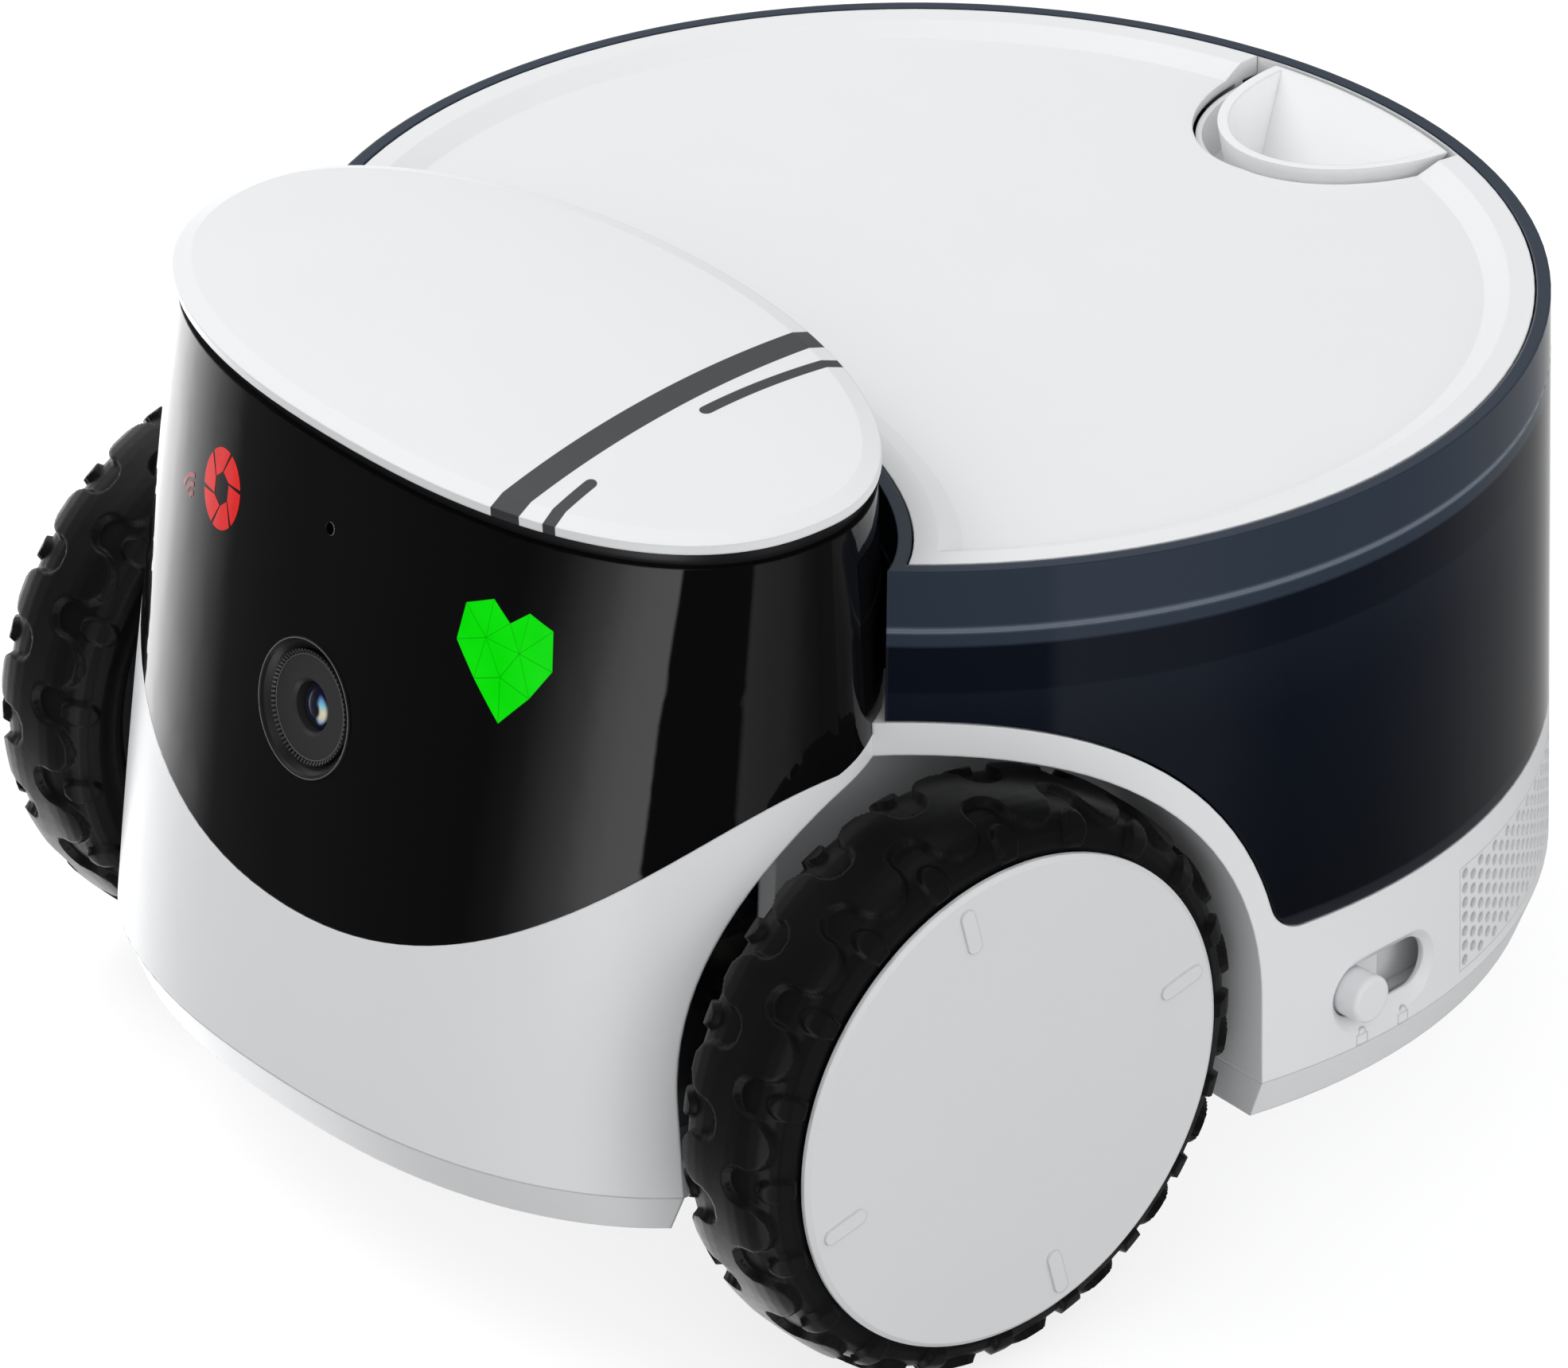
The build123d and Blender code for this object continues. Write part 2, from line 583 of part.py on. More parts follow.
def tyre():
    """Rubber tyre: rounded carcass, a winding tread band and an oval lug in each of its bays."""
    w = TYRE_HALF_W
    r = CARCASS_R
    side = [(36.0, w - 2.6), (39.5, w - 0.4), (42.5, w)]
    crown = ThreePointArc((42.5, w), (r - 1.0, w - 3.0), (r, w - 7.6))
    crown_low = ThreePointArc((42.5, -w), (r - 1.0, -w + 3.0), (r, -w + 7.6))
    walls = [Polyline(*side), crown, Line((r, w - 7.6), (r, -w + 7.6)), crown_low,
             Polyline(*[(a, -b) for a, b in side]), Line(side[0], (side[0][0], -side[0][1]))]
    carcass = revolve(Plane.XZ * make_face(Curve() + walls), Axis.Z)
    low, high = TREAD_SHIFT - TREAD_CORE, TREAD_SHIFT + TREAD_CORE
    band = revolved([(r - 1, low), (TYRE_R, low), (TYRE_R, high), (r - 1, high)])
    pitch = 360 / TREAD_COUNT
    length = LOBE_REACH + TREAD_CORE
    middle = (LOBE_REACH - TREAD_CORE) / 2
    blocks = []
    for i in range(TREAD_COUNT):
        for way in (1, -1):
            phase = (i + (0.0 if way > 0 else 0.5)) * pitch
            lobe_at = Pos(r - 2, 0, TREAD_SHIFT + middle * way) * Rot(0, 90, 0)
            blocks.append(Rot(0, 0, phase) * lobe_at * extrude(SlotOverall(length, LOBE_W), 5))
            lug_at = Pos(r - 2.4, 0, TREAD_SHIFT / 2 + 9.0 * way) * Rot(0, 90 - 32 * way, 0)
            blocks.append(Rot(0, 0, phase + pitch / 2) * lug_at * extrude(Ellipse(2.9, 2.0), 3.4))
    top = [(TYRE_R, 3.5), (TYRE_R - 0.35, 6.3), (TYRE_R - 1.0, 8.3), (TYRE_R - 2.2, 10.0), (TYRE_R - 4.2, 11.6),
           (TYRE_R - 6.5, 12.4), (0, 12.4)]
    crowned = revolved([(away, -across) for away, across in reversed(top)] + top)
    return on_axle(Pos(0, 0, TYRE_X) * ((carcass + band + blocks) & crowned))


def rim():
    """Wheel body that carries the tyre and the hubcap."""
    points = [(SHAFT_R, 66), (8, 66), (9, 88), (33, 90.5), (33, 79), (36, 79), (36, 96.6), (33, 96.6),
              (33, 93.5), (8, 93), (8, 95.0), (SHAFT_R, 95.0)]
    return on_axle(revolved(points))


def hubcap():
    """Smooth disc over the wheel with four raised marks."""
    disc = on_axle(revolved([(0, 97.2), (36.4, 97.2), (36.4, 99.3), (HUBCAP_R - 0.5, 99.3),
                             (HUBCAP_R, 99.8), (HUBCAP_R, 100.5), (HUBCAP_R - 0.8, HUBCAP_X), (0, HUBCAP_X)]))
    marks = []
    for turn in (15, 105, 195, 285):
        mark = Plane(origin=(HUBCAP_X - 0.5, AXLE_Y, AXLE_Z), x_dir=(0, 1, 0), z_dir=(1, 0, 0))
        marks.append(mark * Rot(0, 0, turn) * Pos(34.8, 0, 0) * extrude(SlotOverall(8.2, 2.6), 0.95))
    return disc + marks


def axle():
    """Steel shaft from the inner bush out to the wheel."""
    return on_axle(Pos(0, 0, 43) * Cylinder(SHAFT_R, 95.0 - 43, align=(Align.CENTER, Align.CENTER, Align.MIN)))


def hub_screw():
    """Screw that holds the wheel on its axle."""
    screw = Pos(0, 0, 95.0) * Cylinder(4.0, 1.8, align=(Align.CENTER, Align.CENTER, Align.MIN))
    return on_axle(screw - Pos(0, 0, 96.8) * Box(5, 0.9, 1.6) - Pos(0, 0, 96.8) * Box(0.9, 5, 1.6))


def involute(radius, base, flip):
    """Polar angle of an involute flank at a radius, in radians, from where it leaves the base circle."""
    if radius <= base:
        return 0.0
    a = sqrt((radius / base) ** 2 - 1)
    return flip * (a - atan(a))


def gear(teeth, width, bore):
    """Spur gear about Z with 20 degree involute teeth and a little backlash."""
    pitch_r = MODULE * teeth / 2
    base = pitch_r * cos(radians(20))
    root, tip = pitch_r - 1.2 * MODULE, pitch_r + 0.92 * MODULE
    backlash = 0.10
    half = (pi * MODULE / 2 - backlash) / (2 * pitch_r) + involute(pitch_r, base, 1)
    points = []
    flank = [root] + [max(root, base) + (tip - max(root, base)) * i / 4 for i in range(5)]
    for tooth in range(teeth):
        mid = 2 * pi * tooth / teeth
        for radius in flank:
            turn = mid - half + involute(radius, base, 1)
            points.append((radius * cos(turn), radius * sin(turn)))
        for radius in reversed(flank):
            turn = mid + half - involute(radius, base, 1)
            points.append((radius * cos(turn), radius * sin(turn)))
    blank = extrude(make_face(Polyline(*points, close=True)), width)
    return blank - Pos(0, 0, width / 2) * Cylinder(bore, width + 2)


def drive_gear():
    """Gear on the wheel's axle, one tooth gap facing the pinion."""
    face = gear(GEAR_TEETH, GEAR_W, SHAFT_R)
    return across_robot(face, AXLE_Y, GEAR_X - GEAR_W / 2, 180 + 180 / GEAR_TEETH)


def pinion():
    """Motor pinion with its shaft, one tooth facing the gear."""
    wheel = gear(PINION_TEETH, GEAR_W, 0.9)
    shaft = Pos(0, 0, GEAR_W / 2 - 4) * Cylinder(0.9, GEAR_W + 8)
    return across_robot(wheel + shaft, PINION_Y, GEAR_X - GEAR_W / 2, 0)


def across_robot(piece, y, x, turn):
    """Places a piece made about Z on an axis along X. turn 0 points its own X axis to +Y."""
    place = Plane(origin=(x, y, AXLE_Z), x_dir=(0, 1, 0), z_dir=(1, 0, 0))
    return place * Rot(0, 0, turn) * piece


def drive_motor():
    """Round motor can with a front boss and two terminals at the back."""
    can = Pos(0, 0, -27) * Cylinder(10, 26.6, align=(Align.CENTER, Align.CENTER, Align.MIN))
    boss = Pos(0, 0, -0.4) * Cylinder(3.2, 0.4, align=(Align.CENTER, Align.CENTER, Align.MIN))
    tabs = [Pos(0, y, -28.6) * Box(0.6, 2.4, 3.4) for y in (-6, 6)]
    bore = Pos(0, 0, -3) * Cylinder(BORE_R - 1.6, 7)
    return across_robot(can + boss + tabs - bore, PINION_Y, BRACKET_X, 0)


def motor_bracket():
    """Plate that carries the motor and the inner bush, with a foot on the pan."""
    plate = Pos(BRACKET_X + 1, (PINION_Y + AXLE_Y) / 2, 43.6) * Box(2, 38, 30.4)
    foot = Pos(BRACKET_X - 4, (PINION_Y + AXLE_Y) / 2, BASE_Z + WALL + 1) * Box(12, 38, 2)
    bracket = plate + foot
    bracket -= Pos(BRACKET_X, PINION_Y, AXLE_Z) * Rot(0, 90, 0) * Cylinder(3.4, 8)
    bracket -= Pos(BRACKET_X, AXLE_Y, AXLE_Z) * Rot(0, 90, 0) * Cylinder(5, 8)
    return bracket


def axle_bushes():
    """Two bushes for one axle: one in the bracket and one in the wall of the wheel well."""
    inner = Pos(0, 0, BRACKET_X) * (Cylinder(5, 4, align=(Align.CENTER, Align.CENTER, Align.MIN))
                                        - Cylinder(BORE_R, 20))
    outer = Pos(0, 0, WELL_X - 5) * (Cylinder(6, 5, align=(Align.CENTER, Align.CENTER, Align.MIN))
                                     - Cylinder(BORE_R, 20))
    return Part() + [on_axle(inner), on_axle(outer)]


# ---- caster ----

def caster_socket():
    """Sleeve on the pan that the caster's stem turns in."""
    sleeve = Cylinder(8, 14, align=(Align.CENTER, Align.CENTER, Align.MIN))
    sleeve -= Cylinder(3.05, 40)
    return Pos(0, CASTER_Y, BASE_Z + WALL) * sleeve


def caster_fork():
    """Swivelling fork with its stem."""
    crown = Pos(0, CASTER_Y, 23.2) * Cylinder(9, 2.6)
    stem = Pos(0, CASTER_Y, 24) * Cylinder(3.0, 19.6, align=(Align.CENTER, Align.CENTER, Align.MIN))
    legs = []
    for x in (-6.2, 6.2):
        leg = Pos(x, CASTER_Y + 3.4, 15) * Box(2.0, 9, 14.4) + Pos(x, CASTER_Y + CASTER_TRAIL, CASTER_R) * Rot(
            0, 90, 0) * Cylinder(4.2, 2.0)
        legs.append(leg)
    fork = crown + stem + legs
    return fork - Pos(0, CASTER_Y + CASTER_TRAIL, CASTER_R) * Rot(0, 90, 0) * Cylinder(1.5, 30)


def caster_pin():
    return Pos(0, CASTER_Y + CASTER_TRAIL, CASTER_R) * Rot(0, 90, 0) * Cylinder(1.5, 14.4)


def caster_wheel():
    wheel = Pos(0, 0, -4) * Cylinder(CASTER_R, 8, align=(Align.CENTER, Align.CENTER, Align.MIN))
    wheel = chamfer(wheel.edges().filter_by(GeomType.CIRCLE), 1.2)
    wheel -= Cylinder(1.56, 20)
    return Pos(0, CASTER_Y + CASTER_TRAIL, CASTER_R) * Rot(0, 90, 0) * wheel


def caster_clip():
    """Retaining ring on top of the stem, above the socket."""
    ring = Cylinder(5, 1.0) - Cylinder(3.0, 3)
    return Pos(0, CASTER_Y, BASE_Z + WALL + 14.9) * ring


# ---- lock ----

def in_lock_frame(piece):
    """Turns a piece from the drum's polar frame, where X is radial, to its place on the left side."""
    return Pos(0, DRUM_Y, 0) * Rot(0, 0, LOCK_ANGLE) * piece


def lock_slot():
    """Through slot with a dished edge."""
    length = LOCK_TRAVEL + 2 * KNOB_R + 2 * GAP
    across = Plane(origin=(90, 0, LOCK_Z), x_dir=(0, 1, 0), z_dir=(1, 0, 0))
    slot = across * extrude(SlotOverall(length, 2 * (KNOB_R + GAP)), 20)
    flare = Sketch() + [Pos(0, 0, 10.6) * SlotOverall(length, 2 * (KNOB_R + GAP)),
                        Pos(0, 0, 13.2) * SlotOverall(length + 6.4, 2 * (KNOB_R + GAP) + 6.4)]
    dish = across * loft(flare, ruled=True)
    return in_lock_frame(slot + dish)


def lock_knob():
    """Round knob on a flat carriage behind the shell."""
    start = -LOCK_TRAVEL / 2
    knob = Rot(0, 90, 0) * Cylinder(KNOB_R, KNOB_TOP - 97, align=(Align.CENTER, Align.CENTER, Align.MIN))
    knob = fillet(knob.edges().filter_by(GeomType.CIRCLE).sort_by(Axis.X)[-1], 0.8)
    carriage = Pos(96, start, LOCK_Z) * Box(2.0, 20, 13)
    hook = Pos(96, start + 4, LOCK_Z + 8.5) * Box(2.0, 6, 7)
    return in_lock_frame(Pos(97, start, LOCK_Z) * knob + carriage + hook)


def lock_guide():
    """Backing plate with the rib that the carriage slides along."""
    plate = Pos(93.6, 0, LOCK_Z) * Box(2.0, 36, 15)
    rib = Pos(94.75, 0, LOCK_Z - 7.4) * Box(4.3, 36, 1.2)
    return in_lock_frame(plate + rib)


# ---- speaker ----

def drum_sector(low, high, from_deg, to_deg, outer, inner):
    """Curved patch of the drum's wall."""
    wall = drum(low, high, outer) - drum(low - 1, high + 1, inner)
    reach = 140.0
    corners = [(0, 0)] + [(reach * cos(radians(a)), reach * sin(radians(a)))
                          for a in (from_deg, (from_deg + to_deg) / 2, to_deg)]
    wedge = Pos(0, DRUM_Y, low - 2) * extrude(make_face(Polyline(*corners, close=True)), high - low + 4)
    return wall & wedge


def grille_patch():
    """Space in the shell that the grille fills."""
    return drum_sector(GRILLE_LOW, GRILLE_HIGH, GRILLE_FROM, GRILLE_TO, -1.0, WALL + 0.5)


def speaker_grille():
    """Perforated patch, flush with the shell."""
    patch = drum_sector(GRILLE_LOW, GRILLE_HIGH, GRILLE_FROM, GRILLE_TO, 0.0, WALL - 0.6)
    step = degrees(HOLE_PITCH / drum_radius(44))
    columns = int((GRILLE_TO - GRILLE_FROM) / step)
    rows = int((GRILLE_HIGH - GRILLE_LOW) / HOLE_PITCH)
    margin = ((GRILLE_TO - GRILLE_FROM) - (columns - 1) * step) / 2
    holes = []
    for column in range(columns):
        for row in range(rows - column % 2):
            z = GRILLE_LOW + HOLE_PITCH * (row + 0.6 + 0.5 * (column % 2))
            drill = Pos(98, 0, z) * Rot(0, 90, 0) * Cylinder(HOLE_R, 12)
            holes.append(Pos(0, DRUM_Y, 0) * Rot(0, 0, GRILLE_FROM + margin + column * step) * drill)
    return patch - holes


def speaker_driver():
    """Small loudspeaker behind the grille."""
    basket = Cylinder(10.5, 5, align=(Align.CENTER, Align.CENTER, Align.MIN))
    basket -= Pos(0, 0, 3.4) * Cylinder(9, 4, align=(Align.CENTER, Align.CENTER, Align.MIN))
    magnet = Pos(0, 0, -6) * Cylinder(7, 6, align=(Align.CENTER, Align.CENTER, Align.MIN))
    aim = Pos(0, DRUM_Y, 0) * Rot(0, 0, (GRILLE_FROM + GRILLE_TO) / 2) * Pos(88, 0, 44.4) * Rot(0, 90, 0)
    return aim * (basket + magnet)


def pieces():
    """Every node of the robot, by name."""
    nodes = {
        "lower_shell": lower_shell, "base_pan": base_pan, "battery_cover": battery_cover,
        "battery_pack": battery_pack, "cliff_windows": cliff_windows, "charging_contacts": charging_contacts,
        "base_screws": base_screws, "face_panel": face_panel, "head_cap": head_cap, "cap_gasket": cap_gasket,
        "camera_bezel": camera_bezel, "lens_barrel": lens_barrel, "lens_glass": lens_glass,
        "camera_board": camera_board, "microphone": microphone, "proximity_window": proximity_window,
        "main_board": main_board, "ribbon_cable": ribbon_cable,
        "bin_tub": bin_tub, "bin_rim": bin_rim, "hopper_floor": hopper_floor,
        "dispenser_rotor": dispenser_rotor, "drive_dog": drive_dog, "dispenser_motor": dispenser_motor,
        "lid_plate": lid_plate, "lid_seal": lid_seal, "cup_pocket": cup_pocket, "treat_cup": treat_cup,
        "caster_socket": caster_socket, "caster_fork": caster_fork, "caster_pin": caster_pin,
        "caster_wheel": caster_wheel, "caster_clip": caster_clip,
        "lock_knob": lock_knob, "lock_guide": lock_guide,
        "speaker_grille": speaker_grille, "speaker_driver": speaker_driver,
    }
    for name, make in nodes.items():
        yield name, make()
    for side, (x, z) in EYES.items():
        yield f"face_display_{side}", face_display(x, z)
    for name, make in (("tyre", tyre), ("wheel_rim", rim), ("hubcap", hubcap), ("axle", axle),
                       ("hub_screw", hub_screw), ("drive_gear", drive_gear), ("pinion", pinion),
                       ("drive_motor", drive_motor), ("motor_bracket", motor_bracket),
                       ("axle_bushes", axle_bushes)):
        left, right = pair(make())
        yield f"{name}_left", left
        yield f"{name}_right", right


os.makedirs("parts", exist_ok=True)
for node, solid in pieces():
    export_step(solid, f"parts/{node}.step")
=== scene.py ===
import bpy
import bmesh
from math import cos, degrees, pi, radians, sin, sqrt
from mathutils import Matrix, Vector
from mathutils.bvhtree import BVHTree


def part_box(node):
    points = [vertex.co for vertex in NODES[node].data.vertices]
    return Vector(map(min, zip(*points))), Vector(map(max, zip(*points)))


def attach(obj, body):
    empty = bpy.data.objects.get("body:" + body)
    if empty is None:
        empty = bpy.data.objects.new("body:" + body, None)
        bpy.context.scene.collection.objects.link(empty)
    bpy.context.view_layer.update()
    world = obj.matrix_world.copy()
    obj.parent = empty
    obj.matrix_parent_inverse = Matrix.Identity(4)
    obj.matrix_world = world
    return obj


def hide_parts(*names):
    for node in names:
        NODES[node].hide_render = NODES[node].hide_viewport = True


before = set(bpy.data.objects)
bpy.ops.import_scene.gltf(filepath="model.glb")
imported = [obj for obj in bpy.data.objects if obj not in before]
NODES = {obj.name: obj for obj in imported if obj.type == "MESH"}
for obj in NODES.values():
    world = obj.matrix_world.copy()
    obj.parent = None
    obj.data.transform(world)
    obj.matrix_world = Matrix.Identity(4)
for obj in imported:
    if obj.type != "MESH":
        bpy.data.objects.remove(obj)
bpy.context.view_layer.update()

MM = 0.001
SIDES = {"left": 1, "right": -1}

# ---- places read from the frame ----
TYRE_LOW, TYRE_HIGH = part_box("tyre_left")
AXLE_Y = (TYRE_LOW.y + TYRE_HIGH.y) / 2
AXLE_Z = (TYRE_LOW.z + TYRE_HIGH.z) / 2
TYRE_R = (TYRE_HIGH.z - TYRE_LOW.z) / 2
RIM_LOW, RIM_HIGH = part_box("bin_rim")
DRUM_Y = RIM_LOW.x + RIM_HIGH.y + 0.0001      # the rim is round about x = 0, so low x is minus its radius
RIM_TOP, BAND_LOW = RIM_HIGH.z, RIM_LOW.z
BIN_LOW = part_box("bin_tub")[0].z

# ---- colours ----
WHITE = (0.80, 0.808, 0.82)
LID_WHITE = (0.83, 0.835, 0.845)
# Paler than the other whites: painted light that lifts the shade inside the cup.
CUP_WHITE_PAINTED_LIGHT = (0.88, 0.885, 0.89)
CAP_GREY = (0.72, 0.725, 0.735)
MARK_GREY = (0.62, 0.625, 0.635)
# Grey of the sheet behind the speaker holes: painted shade for the holes.
HOLE_SHADE_GREY = (0.54, 0.545, 0.555)
# Grey of the two fine lens lines: a painted highlight along the bezel's and barrel's edges.
HIGHLIGHT_LINE_GREY = (0.16, 0.16, 0.165)
PRINT_GREY = (0.045, 0.046, 0.05)
PANEL_BLACK = (0.0035, 0.0035, 0.004)
TRIM_BLACK = (0.012, 0.012, 0.013)
BARREL_BLACK = (0.03, 0.03, 0.032)
BARREL_DARK = (0.006, 0.006, 0.0065)
FRAME_BLACK = (0.035, 0.035, 0.037)
RIB_BLACK = (0.05, 0.05, 0.052)
SOFT_GREY = (0.09, 0.09, 0.095)
RUBBER_DARK, RUBBER_PALE = (0.0035, 0.0035, 0.0038), (0.005, 0.005, 0.0054)
SMOKE_DEEP, SMOKE_INK = (0.0035, 0.0045, 0.007), (0.005, 0.007, 0.013)
# The first two are a painted highlight along the bin's bottom edge.
SMOKE_FOOT_HIGHLIGHT, SMOKE_STEP_HIGHLIGHT = (0.02, 0.023, 0.03), (0.016, 0.018, 0.024)
SMOKE_SKIRT = (0.008, 0.011, 0.019)
# The last of these is a painted highlight: the thin pale line along the rim's lower edge.
SLATE, SLATE_TOP, SLATE_PAINTED_HIGHLIGHT = (0.030, 0.041, 0.060), (0.03, 0.042, 0.062), (0.20, 0.24, 0.30)
BOARD_DARK, BOARD_TRACK = (0.01, 0.10, 0.035), (0.03, 0.22, 0.09)
CELL_BLUE = (0.03, 0.10, 0.28)
CABLE_CREAM = (0.6, 0.55, 0.42)
NYLON = (0.68, 0.66, 0.60)
STEEL, BRASS = (0.55, 0.55, 0.56), (0.72, 0.50, 0.22)
HEART_GREEN, HEART_LINE = (0.0, 0.60, 0.0), (0.0, 0.36, 0.0)
SHUTTER_RED, SIGNAL_RED = (0.55, 0.012, 0.012), (0.20, 0.005, 0.005)

# ---- printed stripes on the cap, in metres ----
STRIPE_MID_Y = 0.0645    # the stripes bow about this line
STRIPE_X, STRIPE_W = 0.03145, 0.0056
STRIPE_BOW, STRIPE_LEAN = 1.76, -0.102
DASH_X, DASH_HALF, DASH_BOW = 0.0066, 0.0012, 1.9
DASH_FRONT, DASH_REAR = -0.0847, -0.0588      # where the thin stripe's two rounded ends are centred
PRINT_SOFT = 0.00015                          # softness of the printed edges

# ---- camera lens ----
LENS_TILT = radians(10.07)
# The crescent is a painted reflection that glows on the glass.
GLINT_INNER, GLINT_OUTER, GLINT_SIDE = 0.0014, 0.0026, 0.0009     # coloured crescent on the glass
GLINT_TALL = 0.0052
RIB_COUNT, RIB_INNER, RIB_OUTER = 72, 8.75, 9.25     # teeth round the barrel, radii in mm
RIB_HALF, RIB_TALL = 0.16, 0.22                      # mm
RIB_DEPTH = 1.35                                     # behind the bezel's front edge, mm
BARREL_LINE, BARREL_LINE_DEPTH = 8.4, 1.3            # radius and depth of the fine line on the barrel, mm
LIP_LINE_IN = 0.2                                    # the bezel's line is this far inside its edge, mm
LINE_WIDTH = 0.00012

# ---- tyre, in mm ----
LOBES = 20               # lobes on each side of the tread, with a bay between each two
TREAD_SHIFT = 0.8        # the tread's middle is this far outboard of the tyre's
LOBE_END, LOBE_ROUND = 9.6, 4.5      # reach of the lobes from the middle and their radius
BAY_END = 1.35           # how near the bays come to the middle
RELIEF = 1.2             # height of the tread over the carcass
WALL_IN, WALL_OUT = -0.10, 0.24      # the tread's side wall, from its top edge to its foot
STEPS = 40               # mesh columns in one lobe
LUG_WIDE, LUG_LONG = 2.3, 3.3        # half width round the tyre and half length across it
LUG_AT = 10.6            # distance of the lugs from the middle along the tyre's surface
LUG_RISE, LUG_EDGE = 1.0, 0.88       # height, and where the rounding of the edge starts, as a fraction
TYRE_OFFSET = 0.15       # the lugs reach further outboard than inboard
FINE_FROM = 42           # radius beyond which the section is meshed fine
FINE_MESH, COARSE_MESH = 0.36, 1.2
# Half of the carcass section from the bead to the crown: (radius, across)
TYRE_SIDE = [(36.4, 8.8), (39.5, 11.0), (42.5, 11.3), (44.3, 10.7), (45.6, 9.5), (46.3, 8.3), (46.8, 6.6),
             (47.1, 4.6), (47.2, 2.5), (47.2, 0.0)]

# ---- face displays ----
HEART_AT, HEART_SIZE = (0.0387, 0.1163), 19.2 * MM
SHUTTER_AT, SIGNAL_AT = (-0.0291, 0.1189), (-0.0378, 0.1128)
SHUTTER_RIM, SHUTTER_HOLE = (5.7 * MM, 6.4 * MM), (2.3 * MM, 2.7 * MM)     # half width and half height
SIGNAL_RADII, SIGNAL_WIDTH = (1.7, 3.1, 4.5), 0.75     # mm
DISPLAY_LIFT = 0.00006                                 # display shapes lie this far in front of the panel
FACET_GAP = 0.035                                      # share of a facet left as a line round it

# ---- padlock marks and grille ----
DRUM_TAPER, DRUM_INSET = 0.0272, 0.0003       # the white wall leans out by this much per metre down
PADLOCK_ANGLES, PADLOCK_Z = (2.9, 8.2), 0.0342
PADLOCK_HALF, PADLOCK_FOOT, PADLOCK_TOP = 1.15, -1.0, 0.7     # body, mm
HOOP_R, HOOP_Z = 0.7, 1.15                                    # mm
MARK_WIDTH, MARK_SINK = 0.00035, 0.00004
GRILLE_START, GRILLE_SWEEP, GRILLE_STEPS = 17, 41, 24         # degrees round the drum
SHEET_DEPTH, SHEET_MARGIN = 0.00155, 0.0005

# ---- stage ----
CAMERA_AT = Vector((1.24408, -1.03204, 0.95079))
AZIMUTH, ELEVATION = 50.56, 28.83
LENS, SENSOR = 263.51, 36.0          # a long lens, mm
SHIFT_X, SHIFT_Y = -0.0129, 0.0002
SKY, SKY_COLOUR = 0.68, (0.98, 0.99, 1.0)
CARD_TOP = 3.0                       # the brightest of the cards is under this
CARD_FALL = 0.62                     # reflections from above are dimmer by this share
# What a mirror sees round the studio: (heading in degrees from +X, brightness)
CARDS = [(-180, 2.8), (-172, 2.1), (-164, 1.1), (-156, 0.45), (-151, 0.12), (-140, 0.07), (-125, 0.045),
         (-106, 0.03), (-98, 0.12), (-93, 0.32), (-88, 0.55), (-83, 0.8), (-77, 1.3), (-70, 1.6),
         (-57.5, 1.75), (-56.5, 0.01), (-16, 0.01), (-15, 0.42), (0, 0.33), (12, 0.27), (22, 0.12),
         (30, 0.05), (50, 0.10), (64, 0.18), (80, 0.28), (110, 0.34), (130, 0.6), (150, 1.6), (160, 2.6),
         (180, 2.8)]
FLOOR_GLOW, FLOOR_BOUNCE = 0.76, 0.22     # the backdrop is lit from behind; less of that reaches the robot
FLOOR_HALF = 6.0


# ---- helpers for shader nodes ----

def new_material(name):
    """Empty node material with its Principled shader and output."""
    material = bpy.data.materials.new(name)
    material.use_nodes = True
    tree = material.node_tree
    return material, tree, tree.nodes["Principled BSDF"]


def link(tree, a, b):
    tree.links.new(a, b)


def math_node(tree, operation, a, b=None, c=None, clamp=False):
    """Math node whose inputs are numbers or sockets."""
    node = tree.nodes.new("ShaderNodeMath")
    node.operation = operation
    node.use_clamp = clamp
    for socket, value in zip(node.inputs, (a, b, c)):
        if value is None:
            continue
        if isinstance(value, (int, float)):
            socket.default_value = value
        else:
            link(tree, value, socket)
    return node.outputs[0]


def position(tree):
    """Object-space position split into x, y and z."""
    coords = tree.nodes.new("ShaderNodeTexCoord")
    split = tree.nodes.new("ShaderNodeSeparateXYZ")
    link(tree, coords.outputs["Object"], split.inputs[0])
    return coords.outputs["Object"], split.outputs


def noise(tree, scale, detail=3.0, roughness=0.5):
    node = tree.nodes.new("ShaderNodeTexNoise")
    node.inputs["Scale"].default_value = scale
    node.inputs["Detail"].default_value = detail
    node.inputs["Roughness"].default_value = roughness
    link(tree, position(tree)[0], node.inputs["Vector"])
    return node.outputs["Fac"]


def ramp(tree, factor, stops):
    """Colour ramp from (position, colour) stops."""
    node = tree.nodes.new("ShaderNodeValToRGB")
    elements = node.color_ramp.elements
    while len(elements) < len(stops):
        elements.new(0.5)
    for element, (place, colour) in zip(elements, stops):
        element.position = place
        element.color = (*colour, 1)
    link(tree, factor, node.inputs[0])
    return node.outputs[0]


def mix(tree, factor, a, b):
    """Colour mix; a and b are colours or sockets."""
    node = tree.nodes.new("ShaderNodeMix")
    node.data_type = "RGBA"
    link(tree, factor, node.inputs[0])
    for socket, value in ((node.inputs[6], a), (node.inputs[7], b)):
        if isinstance(value, tuple):
            socket.default_value = (*value, 1)
        else:
            link(tree, value, socket)
    return node.outputs[2]


def bump(tree, shader, height, strength, distance, soften=0.0):
    """Bump from a height socket, over edges softened by a bevel of that radius."""
    node = tree.nodes.new("ShaderNodeBump")
    node.inputs["Strength"].default_value = strength
    node.inputs["Distance"].default_value = distance
    link(tree, height, node.inputs["Height"])
    if soften:
        bevel = tree.nodes.new("ShaderNodeBevel")
        bevel.samples = 4
        bevel.inputs["Radius"].default_value = soften
        link(tree, bevel.outputs[0], node.inputs["Normal"])
    link(tree, node.outputs[0], shader.inputs["Normal"])


